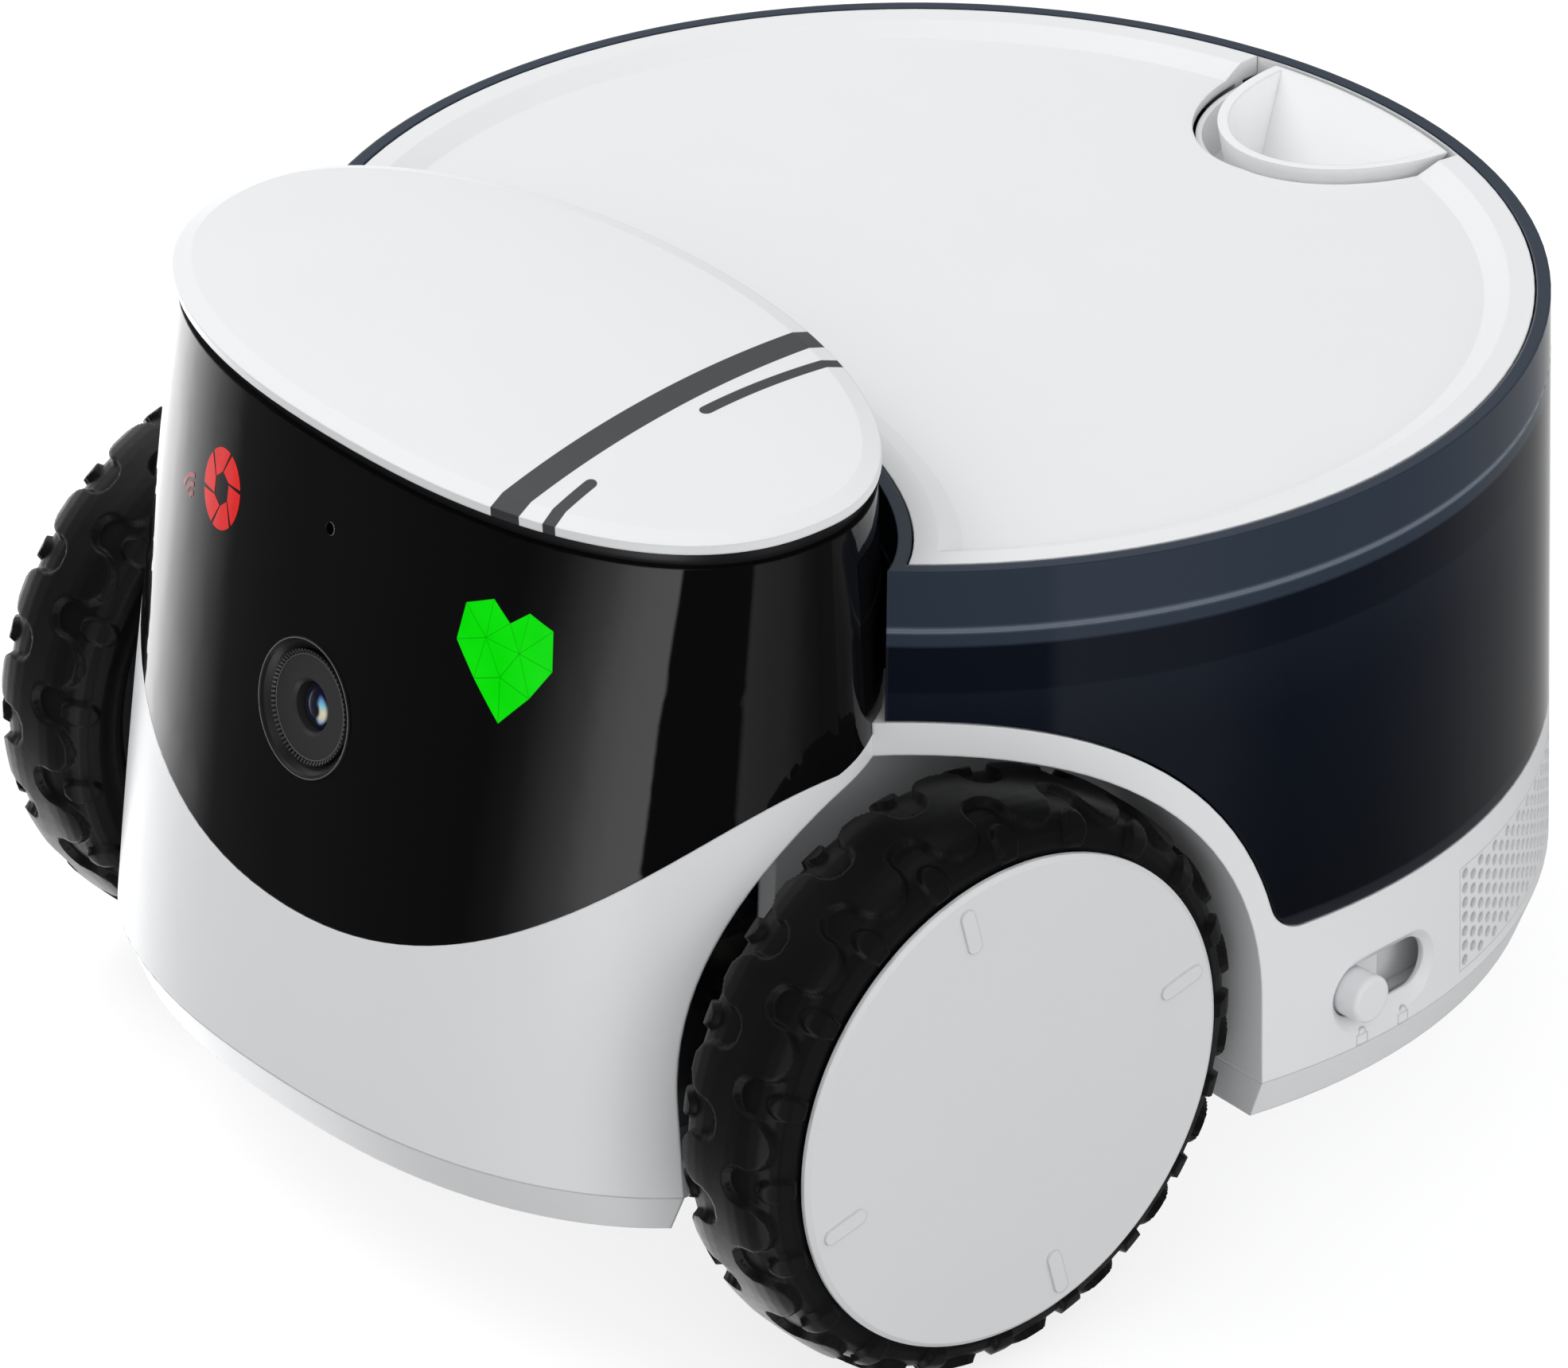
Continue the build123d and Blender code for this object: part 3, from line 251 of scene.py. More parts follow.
def plastic(name, colour, roughness, grain=900.0, strength=0.012, vary=0.004, soften=0.0003):
    """Moulded plastic: fine grain, a trace of colour variation and softened edges."""
    material, tree, shader = new_material(name)
    pale = tuple(min(1.0, c * (1 + vary)) for c in colour)
    dark = tuple(c * (1 - vary) for c in colour)
    link(tree, ramp(tree, noise(tree, 60), [(0.3, dark), (0.7, pale)]), shader.inputs["Base Color"])
    spread = math_node(tree, "MULTIPLY_ADD", noise(tree, 40), 0.02, roughness - 0.01)
    link(tree, spread, shader.inputs["Roughness"])
    bump(tree, shader, noise(tree, grain), strength, 0.00006, soften)
    return material


def metal(name, colour, roughness):
    """Turned or brushed metal with a fine streak."""
    material, tree, shader = new_material(name)
    shader.inputs["Base Color"].default_value = (*colour, 1)
    shader.inputs["Metallic"].default_value = 1.0
    streak = math_node(tree, "MULTIPLY_ADD", noise(tree, 1500, 2), 0.2, roughness - 0.1)
    link(tree, streak, shader.inputs["Roughness"])
    bump(tree, shader, noise(tree, 1500, 2), 0.1, 0.00003)
    return material


# ---- materials ----

def edge_step(tree, value, at, soft):
    """0 below a value and 1 above it, over a soft width."""
    return math_node(tree, "MULTIPLY_ADD", value, 1 / soft, 0.5 - at / soft, clamp=True)


def between(tree, value, low, high, soft):
    """1 between two values, 0 outside."""
    above = edge_step(tree, value, low, soft)
    below = math_node(tree, "SUBTRACT", 1.0, edge_step(tree, value, high, soft))
    return math_node(tree, "MULTIPLY", above, below)


def cap_material():
    """White cap with one wide and one thin printed stripe that curve across its left end."""
    material = plastic("cap_white", WHITE, 0.28, soften=0.0004)
    tree = material.node_tree
    shader = tree.nodes["Principled BSDF"]
    base = shader.inputs["Base Color"].links[0].from_socket
    x, y, _ = position(tree)[1]
    back = math_node(tree, "ADD", y, STRIPE_MID_Y)
    square = math_node(tree, "MULTIPLY", back, back)
    lean = math_node(tree, "MULTIPLY_ADD", back, STRIPE_LEAN, STRIPE_X)
    middle = math_node(tree, "MULTIPLY_ADD", square, STRIPE_BOW, lean)
    across = math_node(tree, "SUBTRACT", x, middle)
    wide = between(tree, across, -STRIPE_W / 2, STRIPE_W / 2, PRINT_SOFT)
    beside = math_node(tree, "SUBTRACT", across, math_node(tree, "MULTIPLY_ADD", square, DASH_BOW, DASH_X))
    rear = math_node(tree, "MINIMUM", math_node(tree, "SUBTRACT", y, DASH_REAR), 0.0)
    front = math_node(tree, "MAXIMUM", math_node(tree, "SUBTRACT", y, DASH_FRONT), 0.0)
    dashes = math_node(tree, "MAXIMUM", rounded_bar(tree, beside, rear), rounded_bar(tree, beside, front))
    marks = math_node(tree, "MAXIMUM", wide, dashes)
    link(tree, mix(tree, marks, base, PRINT_GREY), shader.inputs["Base Color"])
    return material


def rounded_bar(tree, beside, past):
    """1 inside a bar of the thin stripe's width whose end is round, given the distance past that end."""
    square = math_node(tree, "MULTIPLY", past, past)
    distance = math_node(tree, "SQRT", math_node(tree, "MULTIPLY_ADD", beside, beside, square))
    return math_node(tree, "SUBTRACT", 1.0, edge_step(tree, distance, DASH_HALF, PRINT_SOFT))


def face_material():
    """Gloss black panel, almost a mirror."""
    material, tree, shader = new_material("face_gloss_black")
    shader.inputs["Base Color"].default_value = (*PANEL_BLACK, 1)
    link(tree, math_node(tree, "MULTIPLY_ADD", noise(tree, 90), 0.02, 0.03), shader.inputs["Roughness"])
    bump(tree, shader, noise(tree, 25, 1), 0.02, 0.0002, 0.0003)
    return material


def smoke_material():
    """Smoke-tinted bin wall. The paler bands are the lid's skirt and the ribs seen through it. The pale edge
    at the foot and the thin pale line at the rim's lower edge are painted highlights.
    """
    material, tree, shader = new_material("smoke_tint")
    z = position(tree)[1][2]
    full = RIM_TOP - BIN_LOW
    height = math_node(tree, "MULTIPLY_ADD", z, 1 / full, -BIN_LOW / full)
    line = (BAND_LOW - BIN_LOW) / full
    # Pale at the very bottom: painted highlight along the bin's bottom edge.
    foot = [(0.0, SMOKE_FOOT_HIGHLIGHT), (0.025, SMOKE_STEP_HIGHLIGHT), (0.032, SMOKE_DEEP), (0.55, SMOKE_INK)]
    skirt = [(line - 0.15, SMOKE_SKIRT), (line - 0.145, SMOKE_INK), (line - 0.038, SMOKE_INK)]
    # The pale stop at the rim's lower edge is a painted highlight line.
    band = [(line - 0.034, SLATE), (line - 0.006, SLATE), (line, SLATE_PAINTED_HIGHLIGHT), (line + 0.012, SLATE),
            (0.985, SLATE), (1.0, SLATE_TOP)]
    colour = ramp(tree, height, foot + skirt + band)
    link(tree, colour, shader.inputs["Base Color"])
    link(tree, math_node(tree, "MULTIPLY_ADD", noise(tree, 40), 0.04, 0.06), shader.inputs["Roughness"])
    shader.inputs["Specular IOR Level"].default_value = 0.22
    bump(tree, shader, noise(tree, 20, 1), 0.03, 0.0003, 0.0005)
    return material


def rubber_material():
    """Tyre rubber: fine pitted grain, slightly paler where the tread has rubbed."""
    material, tree, shader = new_material("tyre_rubber_look")
    grain = noise(tree, 700, 4, 0.6)
    colour = ramp(tree, noise(tree, 45), [(0.35, RUBBER_DARK), (0.7, RUBBER_PALE)])
    link(tree, colour, shader.inputs["Base Color"])
    link(tree, math_node(tree, "MULTIPLY_ADD", grain, 0.16, 0.36), shader.inputs["Roughness"])
    shader.inputs["Specular IOR Level"].default_value = 0.3
    bump(tree, shader, grain, 0.22, 0.00012)
    return material


def glass_material():
    """Dark coated lens with a small coloured glint towards +X, painted on as a glow: a painted reflection.
    Its dark base turns paler and more purple towards edge-on, a painted sheen.
    """
    material, tree, shader = new_material("lens_coating")
    low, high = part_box("lens_glass")
    x, _, z = position(tree)[1]
    up = math_node(tree, "SUBTRACT", z, (low.z + high.z) / 2)
    square = math_node(tree, "MULTIPLY", up, up)
    radius = math_node(tree, "SQRT", math_node(tree, "MULTIPLY_ADD", x, x, square))
    ring = between(tree, radius, GLINT_INNER, GLINT_OUTER, 0.0005)
    glint = math_node(tree, "MULTIPLY", ring, edge_step(tree, x, GLINT_SIDE, 0.0008))
    height = math_node(tree, "MULTIPLY_ADD", up, 1 / GLINT_TALL, 0.5)
    # Painted reflection: the coating's colours, glowing in the crescent.
    painted_glint_colour = ramp(tree, height, [(0.0, (0.05, 0.12, 0.6)), (0.3, (0.75, 0.8, 0.7)), (0.5, (1.0, 0.85, 0.5)),
                               (0.7, (0.3, 0.75, 0.9)), (1.0, (0.1, 0.2, 0.7))])
    # Painted sheen: the base colour turns paler and more purple towards edge-on.
    facing = tree.nodes.new("ShaderNodeLayerWeight")
    facing.inputs["Blend"].default_value = 0.35
    dark = ramp(tree, facing.outputs["Facing"], [(0.0, (0.012, 0.008, 0.022)), (0.5, (0.006, 0.012, 0.03)),
                                                 (0.9, (0.03, 0.01, 0.04))])
    link(tree, dark, shader.inputs["Base Color"])
    link(tree, painted_glint_colour, shader.inputs["Emission Color"])
    link(tree, math_node(tree, "MULTIPLY", glint, 0.7), shader.inputs["Emission Strength"])
    shader.inputs["Roughness"].default_value = 0.02
    shader.inputs["Coat Weight"].default_value = 1.0
    shader.inputs["Coat Roughness"].default_value = 0.01
    bump(tree, shader, noise(tree, 30, 1), 0.01, 0.0001)
    return material


def barrel_material():
    """Satin black barrel face, darker outside its fine line."""
    material = plastic("barrel_black", BARREL_BLACK, 0.42, soften=0.0001)
    tree = material.node_tree
    shader = tree.nodes["Principled BSDF"]
    base = shader.inputs["Base Color"].links[0].from_socket
    middle = lens_front()[0]
    x, _, z = position(tree)[1]
    up = math_node(tree, "MULTIPLY_ADD", z, 1 / cos(LENS_TILT), -(middle.z - 0.0002) / cos(LENS_TILT))
    square = math_node(tree, "MULTIPLY", up, up)
    radius = math_node(tree, "SQRT", math_node(tree, "MULTIPLY_ADD", x, x, square))
    outside = edge_step(tree, radius, BARREL_LINE * MM, 0.0002)
    link(tree, mix(tree, outside, base, BARREL_DARK), shader.inputs["Base Color"])
    return material


def glow_material(name, colour, strength):
    """Display light seen through the dark panel, very slightly uneven."""
    material, tree, shader = new_material(name)
    shader.inputs["Base Color"].default_value = (*[c * 0.2 for c in colour], 1)
    shader.inputs["Roughness"].default_value = 0.12
    pale = tuple(min(1.0, c * 1.1 + 0.004) for c in colour)
    link(tree, ramp(tree, noise(tree, 120), [(0.3, colour), (0.7, pale)]), shader.inputs["Emission Color"])
    shader.inputs["Emission Strength"].default_value = strength
    return material


def board_material():
    """Green circuit board with paler tracks."""
    material, tree, shader = new_material("board_green")
    cells = tree.nodes.new("ShaderNodeTexVoronoi")
    cells.distance = "MANHATTAN"
    cells.inputs["Scale"].default_value = 260
    link(tree, position(tree)[0], cells.inputs["Vector"])
    link(tree, ramp(tree, cells.outputs["Distance"], [(0.35, BOARD_DARK), (0.42, BOARD_TRACK)]),
         shader.inputs["Base Color"])
    shader.inputs["Roughness"].default_value = 0.4
    bump(tree, shader, cells.outputs["Distance"], 0.15, 0.0001)
    return material


def dress(material, *names):
    """Gives CAD nodes a material."""
    for name in names:
        data = NODES[name].data
        data.materials.clear()
        data.materials.append(material)
        for face in data.polygons:
            face.material_index = 0


def both(*names):
    return [f"{name}_{side}" for name in names for side in SIDES]


def dress_nodes():
    """Materials for every CAD node that shows."""
    dress(plastic("shell_white", WHITE, 0.30, soften=0.0005), "lower_shell", "base_pan", "battery_cover",
          "speaker_grille", "lock_knob", "hopper_floor", "lock_guide")
    dress(plastic("lid_white", LID_WHITE, 0.30, soften=0.0004), "lid_plate", "dispenser_rotor")
    # This paler white is painted light, lifting the shade inside the cup and its pocket.
    dress(plastic("cup_white_painted_light", CUP_WHITE_PAINTED_LIGHT, 0.30, soften=0.0004), "cup_pocket", "treat_cup")
    dress(plastic("hubcap_grey", CAP_GREY, 0.38, soften=0.0003), *both("hubcap"))
    dress(cap_material(), "head_cap")
    dress(face_material(), "face_panel")
    dress(smoke_material(), "bin_tub", "bin_rim")
    dress(plastic("satin_black", TRIM_BLACK, 0.35, soften=0.0002), "camera_bezel", "cap_gasket",
          "cliff_windows", "proximity_window", *both("face_display"))
    dress(barrel_material(), "lens_barrel")
    dress(plastic("structure_black", FRAME_BLACK, 0.5), "caster_socket", "caster_fork",
          "microphone", "speaker_driver", "drive_dog", *both("wheel_rim"))
    dress(glass_material(), "lens_glass")
    dress(plastic("soft_grey", SOFT_GREY, 0.6, strength=0.2), "lid_seal", "caster_wheel")
    dress(board_material(), "camera_board", "main_board")
    dress(plastic("cell_blue", CELL_BLUE, 0.3), "battery_pack")
    dress(plastic("cable_cream", CABLE_CREAM, 0.5), "ribbon_cable")
    dress(plastic("nylon", NYLON, 0.45), *both("drive_gear"))
    dress(metal("steel", STEEL, 0.32), "base_screws", "caster_pin", "caster_clip", "dispenser_motor",
          *both("axle", "hub_screw", "drive_motor", "motor_bracket", "pinion"))
    dress(metal("brass", BRASS, 0.28), "charging_contacts", *both("axle_bushes"))


# ---- mesh pieces ----

def new_piece(name, mesh, material, body, smooth=True):
    """Adds a mesh as a piece on a body."""
    piece = bpy.data.objects.new(name, mesh)
    bpy.context.scene.collection.objects.link(piece)
    mesh.materials.append(material)
    for face in mesh.polygons:
        face.use_smooth = smooth
    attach(piece, body)
    return piece


def smooth_step(low, high, value):
    t = min(1.0, max(0.0, (value - low) / (high - low)))
    return t * t * (3 - 2 * t)


def winding_edge(u, v):
    """Signed distance to one winding edge: lobe arcs and bay arcs that run into each other."""
    half = pi * TYRE_R / MM / LOBES
    lobe_v = LOBE_END - LOBE_ROUND
    rise = lobe_v - BAY_END
    bay_round = (half ** 2 + rise ** 2 - LOBE_ROUND ** 2) / (2 * (LOBE_ROUND + rise))
    bay_v = BAY_END + bay_round
    u = abs(u)
    if (v - lobe_v) * half > (bay_v - lobe_v) * u:
        return sqrt(u ** 2 + (v - lobe_v) ** 2) - LOBE_ROUND
    return bay_round - sqrt((half - u) ** 2 + (v - bay_v) ** 2)


def tread_height(turn, across):
    """How far the tread stands up, 0 to 1, at an angle in turns of one lobe and a place across, in mm."""
    pitch = 2 * pi * TYRE_R / MM / LOBES
    outboard = winding_edge((turn % 1.0 - 0.5) * pitch, across)
    inboard = winding_edge(((turn + 0.5) % 1.0 - 0.5) * pitch, -across)
    return 1 - smooth_step(WALL_IN, WALL_OUT, max(outboard, inboard))


def lug_height(turn, across):
    """Oval lugs on the shoulders, one in each bay."""
    pitch = 2 * pi * TYRE_R / MM / LOBES
    height = 0.0
    for way, shift in ((1, 0.5), (-1, 0.0)):
        u = ((turn + shift) % 1.0 - 0.5) * pitch
        distance = sqrt((u / LUG_WIDE) ** 2 + ((across * way - LUG_AT) / LUG_LONG) ** 2)
        height = max(height, 1 - smooth_step(LUG_EDGE, 1.0, distance))
    return height


def tyre_section():
    """Points (radius, across) along the carcass section in mm, from bead to bead."""
    half = []
    for (r0, a0), (r1, a1) in zip(TYRE_SIDE, TYRE_SIDE[1:]):
        length = sqrt((r1 - r0) ** 2 + (a1 - a0) ** 2)
        count = max(2, int(length / (FINE_MESH if r0 > FINE_FROM else COARSE_MESH)))
        for i in range(count):
            t = i / count
            half.append((r0 + (r1 - r0) * t, a0 + (a1 - a0) * t))
    return half + [(TYRE_SIDE[-1][0], 0.0)] + [(r, -a) for r, a in reversed(half)]


def distance_along(section):
    """Signed distance of each section point from the crown, along the surface."""
    walked = [0.0]
    for (r0, a0), (r1, a1) in zip(section, section[1:]):
        walked.append(walked[-1] + sqrt((r1 - r0) ** 2 + (a1 - a0) ** 2))
    return [walked[-1] / 2 - w for w in walked]


def section_normal(section, i):
    """Outward normal (radial, across) of the section at a point."""
    (r0, a0), (r1, a1) = section[max(0, i - 2)], section[min(len(section) - 1, i + 2)]
    dr, da = r1 - r0, a1 - a0
    length = sqrt(dr * dr + da * da) or 1.0
    return -da / length, dr / length


def tyre_rows():
    """Sections (radius, across) in mm of one lobe of the tyre, with the tread and the lugs on the carcass."""
    section = tyre_section()
    walked = distance_along(section)
    normals = [section_normal(section, i) for i in range(len(section))]
    rows = []
    for step in range(STEPS):
        row = []
        for (radius, across), (nr, na), along in zip(section, normals, walked):
            shifted = along - TREAD_SHIFT
            tall = tread_height(step / STEPS, shifted) * RELIEF
            rise = max(tall, lug_height(step / STEPS, shifted) * LUG_RISE)
            row.append((radius + nr * rise, across + na * rise))
        rows.append(row)
    return rows


def build_tyre(side, way, material):
    """Tyre with a winding tread ribbon and oval lugs, in place of the CAD tyre."""
    rows = tyre_rows()
    around, width = LOBES * STEPS, len(rows[0])
    centre_x = (TYRE_LOW.x + TYRE_HIGH.x) / 2 / MM - TYRE_OFFSET
    verts, faces = [], []
    for step in range(around):
        angle = 2 * pi * step / around
        for radius, across in rows[step % STEPS]:
            verts.append((way * (centre_x + across) * MM, AXLE_Y + radius * cos(angle) * MM,
                          AXLE_Z + radius * sin(angle) * MM))
    for step in range(around):
        a, b = step * width, ((step + 1) % around) * width
        quads = [(a + i, a + i + 1, b + i + 1, b + i) for i in range(width - 1)]
        quads.append((a + width - 1, a, b, b + width - 1))
        faces.extend(quads if way < 0 else [quad[::-1] for quad in quads])
    mesh = bpy.data.meshes.new(f"tyre_tread_{side}")
    mesh.from_pydata(verts, [], faces)
    mesh.update()
    piece = new_piece(f"tyre_tread_{side}", mesh, material, f"wheel_{side}")
    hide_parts(f"tyre_{side}")
    return piece


def panel_tree():
    """Ray target of the face panel, for laying display shapes on it."""
    data = NODES["face_panel"].data
    places = [vertex.co.copy() for vertex in data.vertices]
    return BVHTree.FromPolygons(places, [tuple(face.vertices) for face in data.polygons])


def on_panel(tree, x, z, lift):
    """Point just in front of the panel at x and z."""
    hit, normal, _, _ = tree.ray_cast(Vector((x, -0.3, z)), Vector((0, 1, 0)))
    if normal.y > 0:
        normal = -normal
    return hit + normal * lift


def draped_shape(name, outlines, material, lift=DISPLAY_LIFT):
    """Flat shapes in the XZ plane, cut fine and laid on the panel. An outline is a list of (x, z)."""
    tree = panel_tree()
    build = bmesh.new()
    for outline in outlines:
        face = build.faces.new([build.verts.new((x, 0, z)) for x, z in outline])
        bmesh.ops.triangulate(build, faces=[face])
    for _ in range(5):
        long_edges = [e for e in build.edges if e.calc_length() > 1.2 * MM]
        if not long_edges:
            break
        bmesh.ops.subdivide_edges(build, edges=long_edges, cuts=1)
        bmesh.ops.triangulate(build, faces=build.faces)
    for vert in build.verts:
        vert.co = on_panel(tree, vert.co.x, vert.co.z, lift)
    for face in build.faces:
        face.normal_update()
        if face.normal.y > 0:
            face.normal_flip()
    mesh = bpy.data.meshes.new(name)
    build.to_mesh(mesh)
    build.free()
    return new_piece(name, mesh, material, "chassis")


def heart_shapes():
    """Outlines (x, z) of the heart's flat facets, which run from its rim to three points inside it."""
    rim = [(-0.40, 0.38), (-0.14, 0.49), (0.04, 0.34), (0.20, 0.47), (0.42, 0.38), (0.46, 0.05),
           (0.30, -0.22), (0.06, -0.50), (-0.22, -0.20), (-0.44, 0.06)]
    hub = [(-0.16, 0.16), (0.16, 0.12), (0.02, -0.12)]
    facets = [(0, 1, 10), (1, 2, 10), (2, 11, 10), (2, 3, 11), (3, 4, 11), (4, 5, 11), (5, 6, 11),
              (6, 12, 11), (6, 7, 12), (7, 8, 12), (8, 10, 12), (10, 11, 12), (8, 9, 10), (9, 0, 10)]
    points = rim + hub
    placed = [(HEART_AT[0] + x * HEART_SIZE, HEART_AT[1] + z * HEART_SIZE) for x, z in points]
    return [[placed[i] for i in facet] for facet in facets]


def shrink(outline, amount):
    """Pulls an outline in towards its middle, to leave a fine line between facets."""
    cx = sum(x for x, _ in outline) / len(outline)
    cz = sum(z for _, z in outline) / len(outline)
    keep = 1 - amount
    return [(cx + (x - cx) * keep, cz + (z - cz) * keep) for x, z in outline]


def build_displays():
    """The two face displays: a faceted heart, and a shutter with two small arcs beside it."""
    light = glow_material("glow_green", HEART_GREEN, 1.0)
    line = glow_material("glow_green_line", HEART_LINE, 1.0)
    facets = heart_shapes()
    inset = [shrink(facet, FACET_GAP) for facet in facets]
    draped_shape("heart_facets", inset, light)
    draped_shape("heart_lines", facets, line, lift=DISPLAY_LIFT / 2)
    build_shutter(glow_material("glow_red", SHUTTER_RED, 1.0))
    build_signal(glow_material("glow_red_dim", SIGNAL_RED, 1.0))


def build_shutter(material):
    """Six curved blades round a six-sided opening."""
    def on_oval(half, angle):
        return SHUTTER_AT[0] + half[0] * cos(angle), SHUTTER_AT[1] + half[1] * sin(angle)

    blades = []
    for k in range(6):
        start = k * pi / 3 + 0.25
        arc = [on_oval(SHUTTER_RIM, start + 0.06 + t * (pi / 3 - 0.10) / 6) for t in range(7)]
        blades.append(arc + [on_oval(SHUTTER_HOLE, start + 1.35), on_oval(SHUTTER_HOLE, start + 0.42)])
    draped_shape("shutter_blades", blades, material)


def build_signal(material):
    """Three small arcs that fan out up and away from the shutter."""
    fan = [radians(95 + 70 * t / 8) for t in range(9)]
    arcs = []
    for outer in SIGNAL_RADII:
        ends = [(outer * MM, a) for a in fan] + [((outer - SIGNAL_WIDTH) * MM, a) for a in fan[::-1]]
        arcs.append([(SIGNAL_AT[0] + radius * cos(a), SIGNAL_AT[1] + radius * sin(a)) for radius, a in ends])
    draped_shape("signal_arcs", arcs, material)


def drum_radius(z):
    """Radius of the drum's white wall at a height."""
    return RIM_HIGH.x + (RIM_TOP - z) * DRUM_TAPER - DRUM_INSET


def drum_point(angle_deg, z, lift=0.0):
    """Point on the drum's white wall, or that far off it."""
    radius = drum_radius(z) + lift
    a = radians(angle_deg)
    return Vector((radius * cos(a), DRUM_Y + radius * sin(a), z))


def raised_line(name, points, width, material, body, closed=False):
    """Thin raised bead along points."""
    curve = bpy.data.curves.new(name, "CURVE")
    curve.dimensions = "3D"
    curve.bevel_depth = width / 2
    curve.bevel_resolution = 2
    spline = curve.splines.new("POLY")
    spline.points.add(len(points) - 1)
    for point, place in zip(spline.points, points):
        point.co = (*place, 1)
    spline.use_cyclic_u = closed
    holder = bpy.data.objects.new(name + "_curve", curve)
    mesh = bpy.data.meshes.new_from_object(holder)
    mesh.name = name
    mesh.materials.clear()
    bpy.data.objects.remove(holder)
    return new_piece(name, mesh, material, body)


def build_padlocks(material):
    """Two small raised padlock outlines under the lock slider, the first of them closed."""
    step = degrees(MM / drum_radius(PADLOCK_Z))
    for k, angle in enumerate(PADLOCK_ANGLES):
        def at(u, v):
            return drum_point(angle + u * step, PADLOCK_Z + v * MM, -MARK_SINK)

        corners = ((-1, PADLOCK_FOOT), (1, PADLOCK_FOOT), (1, PADLOCK_TOP), (-1, PADLOCK_TOP))
        body = [at(side * PADLOCK_HALF, v) for side, v in corners]
        raised_line(f"padlock_body_{k}", body, MARK_WIDTH, material, "chassis", closed=True)
        hoop = [at(HOOP_R, PADLOCK_TOP)]
        hoop += [at(HOOP_R * cos(pi * t / 8), HOOP_Z + HOOP_R * sin(pi * t / 8)) for t in range(9)]
        if k == 0:
            hoop.append(at(-HOOP_R, PADLOCK_TOP))
        raised_line(f"padlock_hoop_{k}", hoop, MARK_WIDTH, material, "chassis")


def lens_front():
    """Middle of the bezel's front edge, the lens axis and the direction up across it."""
    low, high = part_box("camera_bezel")
    tall, back = cos(LENS_TILT), sin(LENS_TILT)
    middle = Vector((0, low.y + high.x * back, high.z - high.x * tall))
    return middle, Vector((0, -tall, back)), Vector((0, back, tall))


def build_barrel_ribs(material):
    """Fine teeth between the camera bezel and the barrel."""
    middle, aim, up = lens_front()
    base = middle - aim * RIB_DEPTH * MM
    build = bmesh.new()
    for k in range(RIB_COUNT):
        a = 2 * pi * k / RIB_COUNT
        out = Vector((cos(a), 0, 0)) + up * sin(a)
        along = Vector((-sin(a), 0, 0)) + up * cos(a)
        corners = []
        for radius, forward in ((RIB_INNER, 0.0), (RIB_OUTER, 0.4)):
            for wide in (-RIB_HALF, RIB_HALF):
                for tall in (0.0, RIB_TALL):
                    place = out * (radius - tall) + aim * (forward + tall * 0.6) + along * wide
                    corners.append(build.verts.new(base + place * MM))
        bmesh.ops.convex_hull(build, input=corners)
    mesh = bpy.data.meshes.new("bezel_ribs")
    build.to_mesh(mesh)
    build.free()
    return new_piece("bezel_ribs", mesh, material, "chassis", smooth=False)


def build_lens_lines(material):
    """Two fine grey beads, one on the bezel's lip and one round the barrel's face. Their grey is a painted
    highlight along those edges; their gloss catches real light as well.
    """
    middle, aim, up = lens_front()
    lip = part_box("camera_bezel")[1].x / MM - LIP_LINE_IN
    turns = [2 * pi * k / 96 for k in range(96)]
    for name, radius, depth in (("bezel_line", lip, 0.0), ("barrel_line", BARREL_LINE, BARREL_LINE_DEPTH)):
        base = middle - aim * depth * MM
        circle = [base + (Vector((cos(a), 0, 0)) + up * sin(a)) * radius * MM for a in turns]
        raised_line(name, circle, LINE_WIDTH, material, "chassis", closed=True)


def build_grille_shade_sheet(material):
    """Grey sheet behind the speaker holes. Its grey is painted shade, standing in for the shade seen in the
    holes.
    """
    low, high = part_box("speaker_grille")
    verts = []
    for t in range(GRILLE_STEPS + 1):
        for z in (low.z + SHEET_MARGIN, high.z - SHEET_MARGIN):
            verts.append(drum_point(GRILLE_START + GRILLE_SWEEP * t / GRILLE_STEPS, z, -SHEET_DEPTH))
    faces = [(2 * i, 2 * i + 2, 2 * i + 3, 2 * i + 1) for i in range(GRILLE_STEPS)]
    mesh = bpy.data.meshes.new("grille_shade_sheet")
    mesh.from_pydata(verts, [], faces)
    return new_piece("grille_shade_sheet", mesh, material, "chassis")


# ---- building the stage ----

def build_camera():
    """Long-lens camera, high in front of the robot's left wheel."""
    data = bpy.data.cameras.new("camera")
    data.lens, data.sensor_width = LENS, SENSOR
    data.shift_x, data.shift_y = SHIFT_X, SHIFT_Y
    data.clip_start, data.clip_end = 0.05, 30
    camera = bpy.data.objects.new("camera", data)
    camera.location = CAMERA_AT
    camera.rotation_euler = (radians(90 - ELEVATION), 0, radians(AZIMUTH))
    bpy.context.scene.collection.objects.link(camera)
    bpy.context.scene.camera = camera


def background(tree, colour, strength):
    """Background shader; colour and strength are values or sockets."""
    node = tree.nodes.new("ShaderNodeBackground")
    if isinstance(colour, tuple):
        node.inputs[0].default_value = (*colour, 1)
    else:
        link(tree, colour, node.inputs[0])
    if isinstance(strength, float):
        node.inputs[1].default_value = strength
    else:
        link(tree, strength, node.inputs[1])
    return node.outputs[0]


def choose(tree, factor, otherwise, chosen):
    """The chosen shader where the factor is 1, and the other one where it is 0."""
    node = tree.nodes.new("ShaderNodeMixShader")
    for socket, source in zip(node.inputs, (factor, otherwise, chosen)):
        link(tree, source, socket)
    return node.outputs[0]


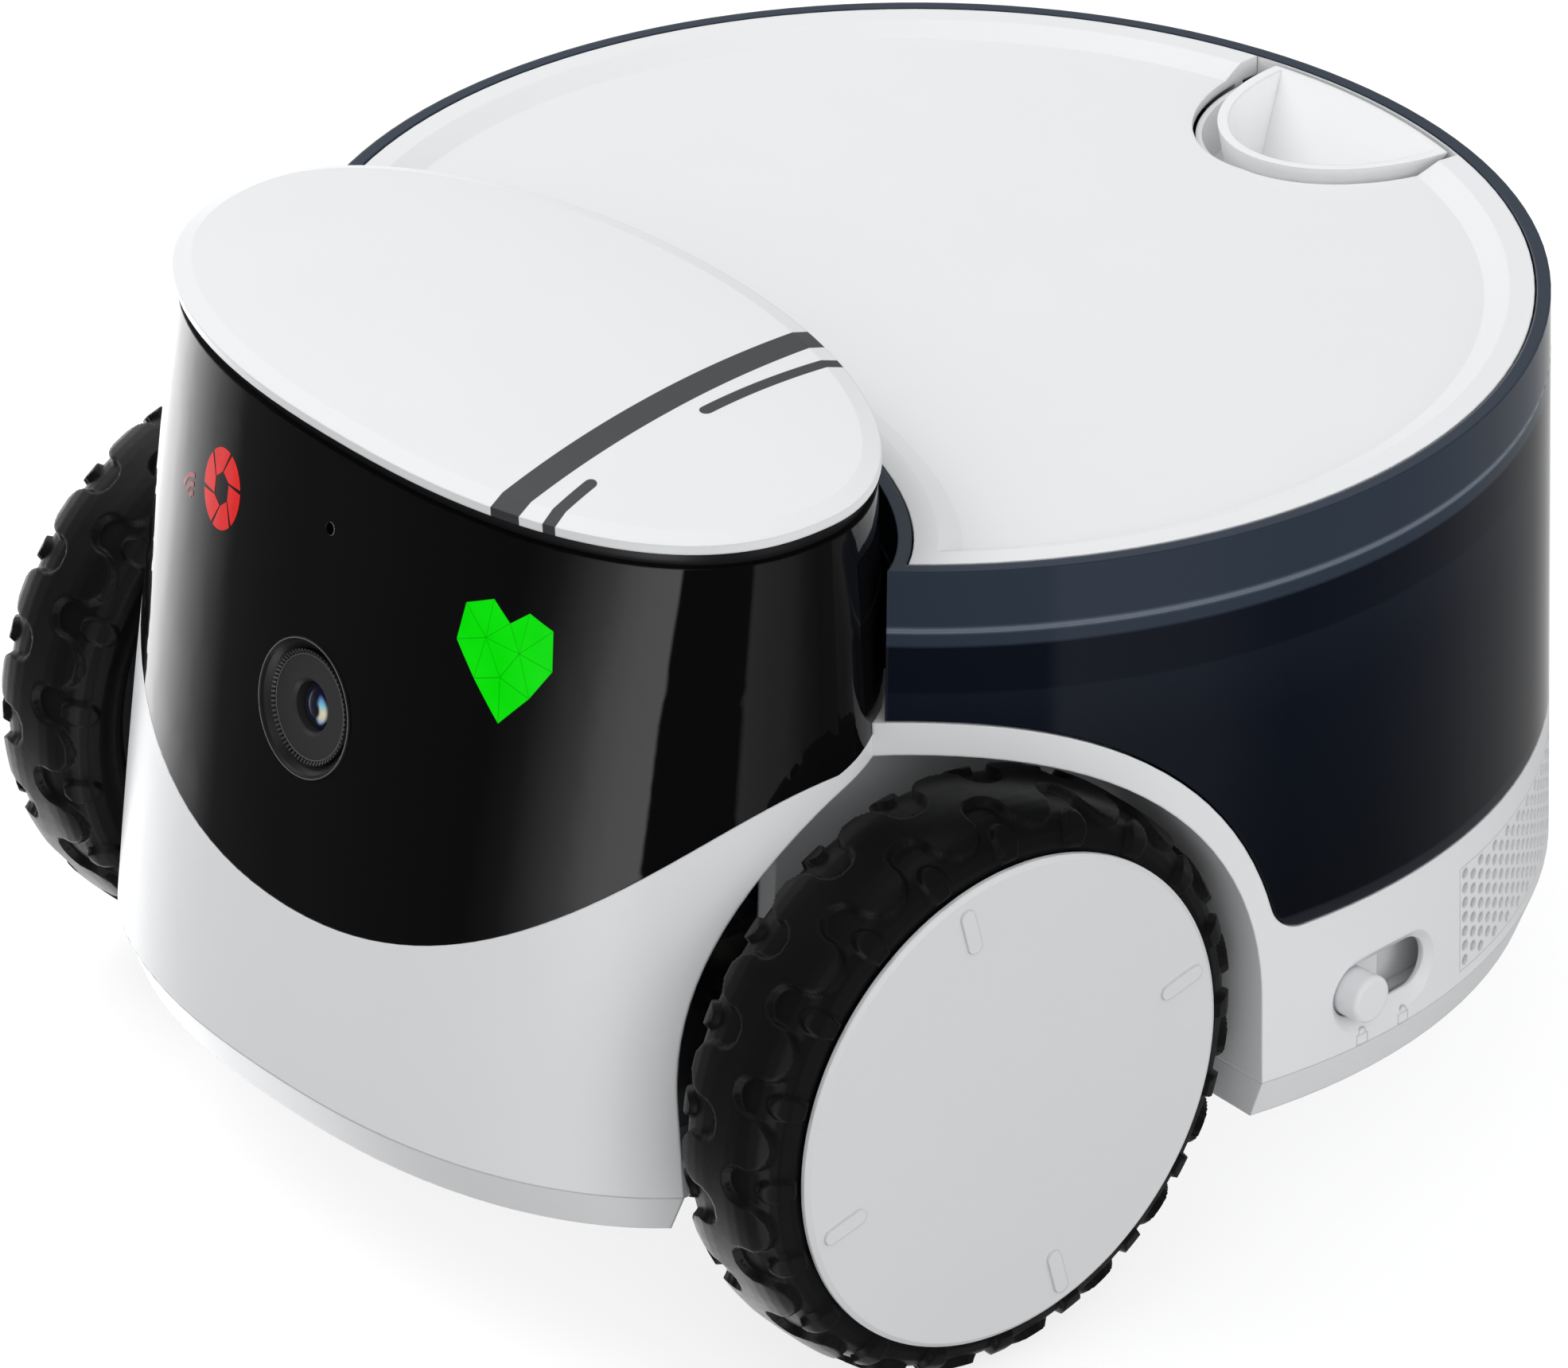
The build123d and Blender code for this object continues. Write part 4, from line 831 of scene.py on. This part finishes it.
def build_world():
    """White to the camera, soft white light, and a ring of light and dark cards in the reflections."""
    world = bpy.data.worlds.new("studio")
    bpy.context.scene.world = world
    world.use_nodes = True
    tree = world.node_tree
    tree.nodes.clear()
    path = tree.nodes.new("ShaderNodeLightPath")
    coords = tree.nodes.new("ShaderNodeTexCoord")
    split = tree.nodes.new("ShaderNodeSeparateXYZ")
    link(tree, coords.outputs["Generated"], split.inputs[0])
    heading = math_node(tree, "ARCTAN2", split.outputs[1], split.outputs[0])
    turn = math_node(tree, "MULTIPLY_ADD", heading, 0.5 / pi, 0.5)
    shine = ramp(tree, turn, [((angle + 180) / 360, (level / CARD_TOP,) * 3) for angle, level in CARDS])
    above = edge_step(tree, split.outputs[2], 0.05, 0.2)
    level = math_node(tree, "MULTIPLY_ADD", above, -CARD_FALL * CARD_TOP, CARD_TOP)
    seen = choose(tree, path.outputs["Is Glossy Ray"], background(tree, SKY_COLOUR, SKY),
                  background(tree, shine, level))
    seen = choose(tree, path.outputs["Is Camera Ray"], seen, background(tree, (1, 1, 1), 1.0))
    output = tree.nodes.new("ShaderNodeOutputWorld")
    link(tree, seen, output.inputs[0])


def soft_light(name, place, aim, size, power):
    """Square studio light."""
    data = bpy.data.lights.new(name, "AREA")
    data.size = size
    data.energy = power
    light = bpy.data.objects.new(name, data)
    light.location = place
    light.visible_glossy = False
    light.rotation_euler = (Vector(aim) - Vector(place)).to_track_quat("-Z", "Y").to_euler()
    bpy.context.scene.collection.objects.link(light)


def build_lights():
    soft_light("key", (-1.1, -0.5, 1.5), (0, 0, 0.06), 1.2, 15)
    soft_light("fill", (1.3, -0.9, 0.9), (0, 0, 0.06), 1.4, 4)
    soft_light("side", (1.7, 0.25, 0.55), (0.05, 0, 0.05), 1.0, 6.5)


def build_floor():
    """Plain pale floor that the glossy face doesn't mirror."""
    material, tree, shader = new_material("floor_pale")
    link(tree, ramp(tree, noise(tree, 4), [(0.3, (0.34, 0.34, 0.34)), (0.7, (0.35, 0.35, 0.35))]),
         shader.inputs["Base Color"])
    shader.inputs["Roughness"].default_value = 0.9
    shader.inputs["Emission Color"].default_value = (1, 1, 1, 1)
    path = tree.nodes.new("ShaderNodeLightPath")
    seen = path.outputs["Is Camera Ray"]
    link(tree, math_node(tree, "MULTIPLY_ADD", seen, FLOOR_GLOW - FLOOR_BOUNCE, FLOOR_BOUNCE),
         shader.inputs["Emission Strength"])
    mesh = bpy.data.meshes.new("floor")
    corners = [(x * FLOOR_HALF, y * FLOOR_HALF, 0) for x, y in ((-1, -1), (1, -1), (1, 1), (-1, 1))]
    mesh.from_pydata(corners, [], [(0, 1, 2, 3)])
    mesh.materials.append(material)
    floor = bpy.data.objects.new("floor", mesh)
    floor.visible_glossy = False
    bpy.context.scene.collection.objects.link(floor)


def main():
    bpy.context.scene.view_settings.view_transform = "Standard"
    build_camera()
    build_world()
    build_lights()
    build_floor()
    dress_nodes()
    rubber = rubber_material()
    for side, way in SIDES.items():
        build_tyre(side, way, rubber)
    build_displays()
    build_padlocks(plastic("mark_grey", MARK_GREY, 0.4))
    build_barrel_ribs(plastic("rib_black", RIB_BLACK, 0.3, soften=0.0))
    # The beads' grey is a painted highlight along the lens's edges.
    build_lens_lines(plastic("painted_highlight_line", HIGHLIGHT_LINE_GREY, 0.2, soften=0.0))
    # The sheet's grey is painted shade seen through the speaker holes.
    build_grille_shade_sheet(plastic("grille_hole_shade", HOLE_SHADE_GREY, 0.8, grain=2500, strength=0.3, soften=0.0))


main()
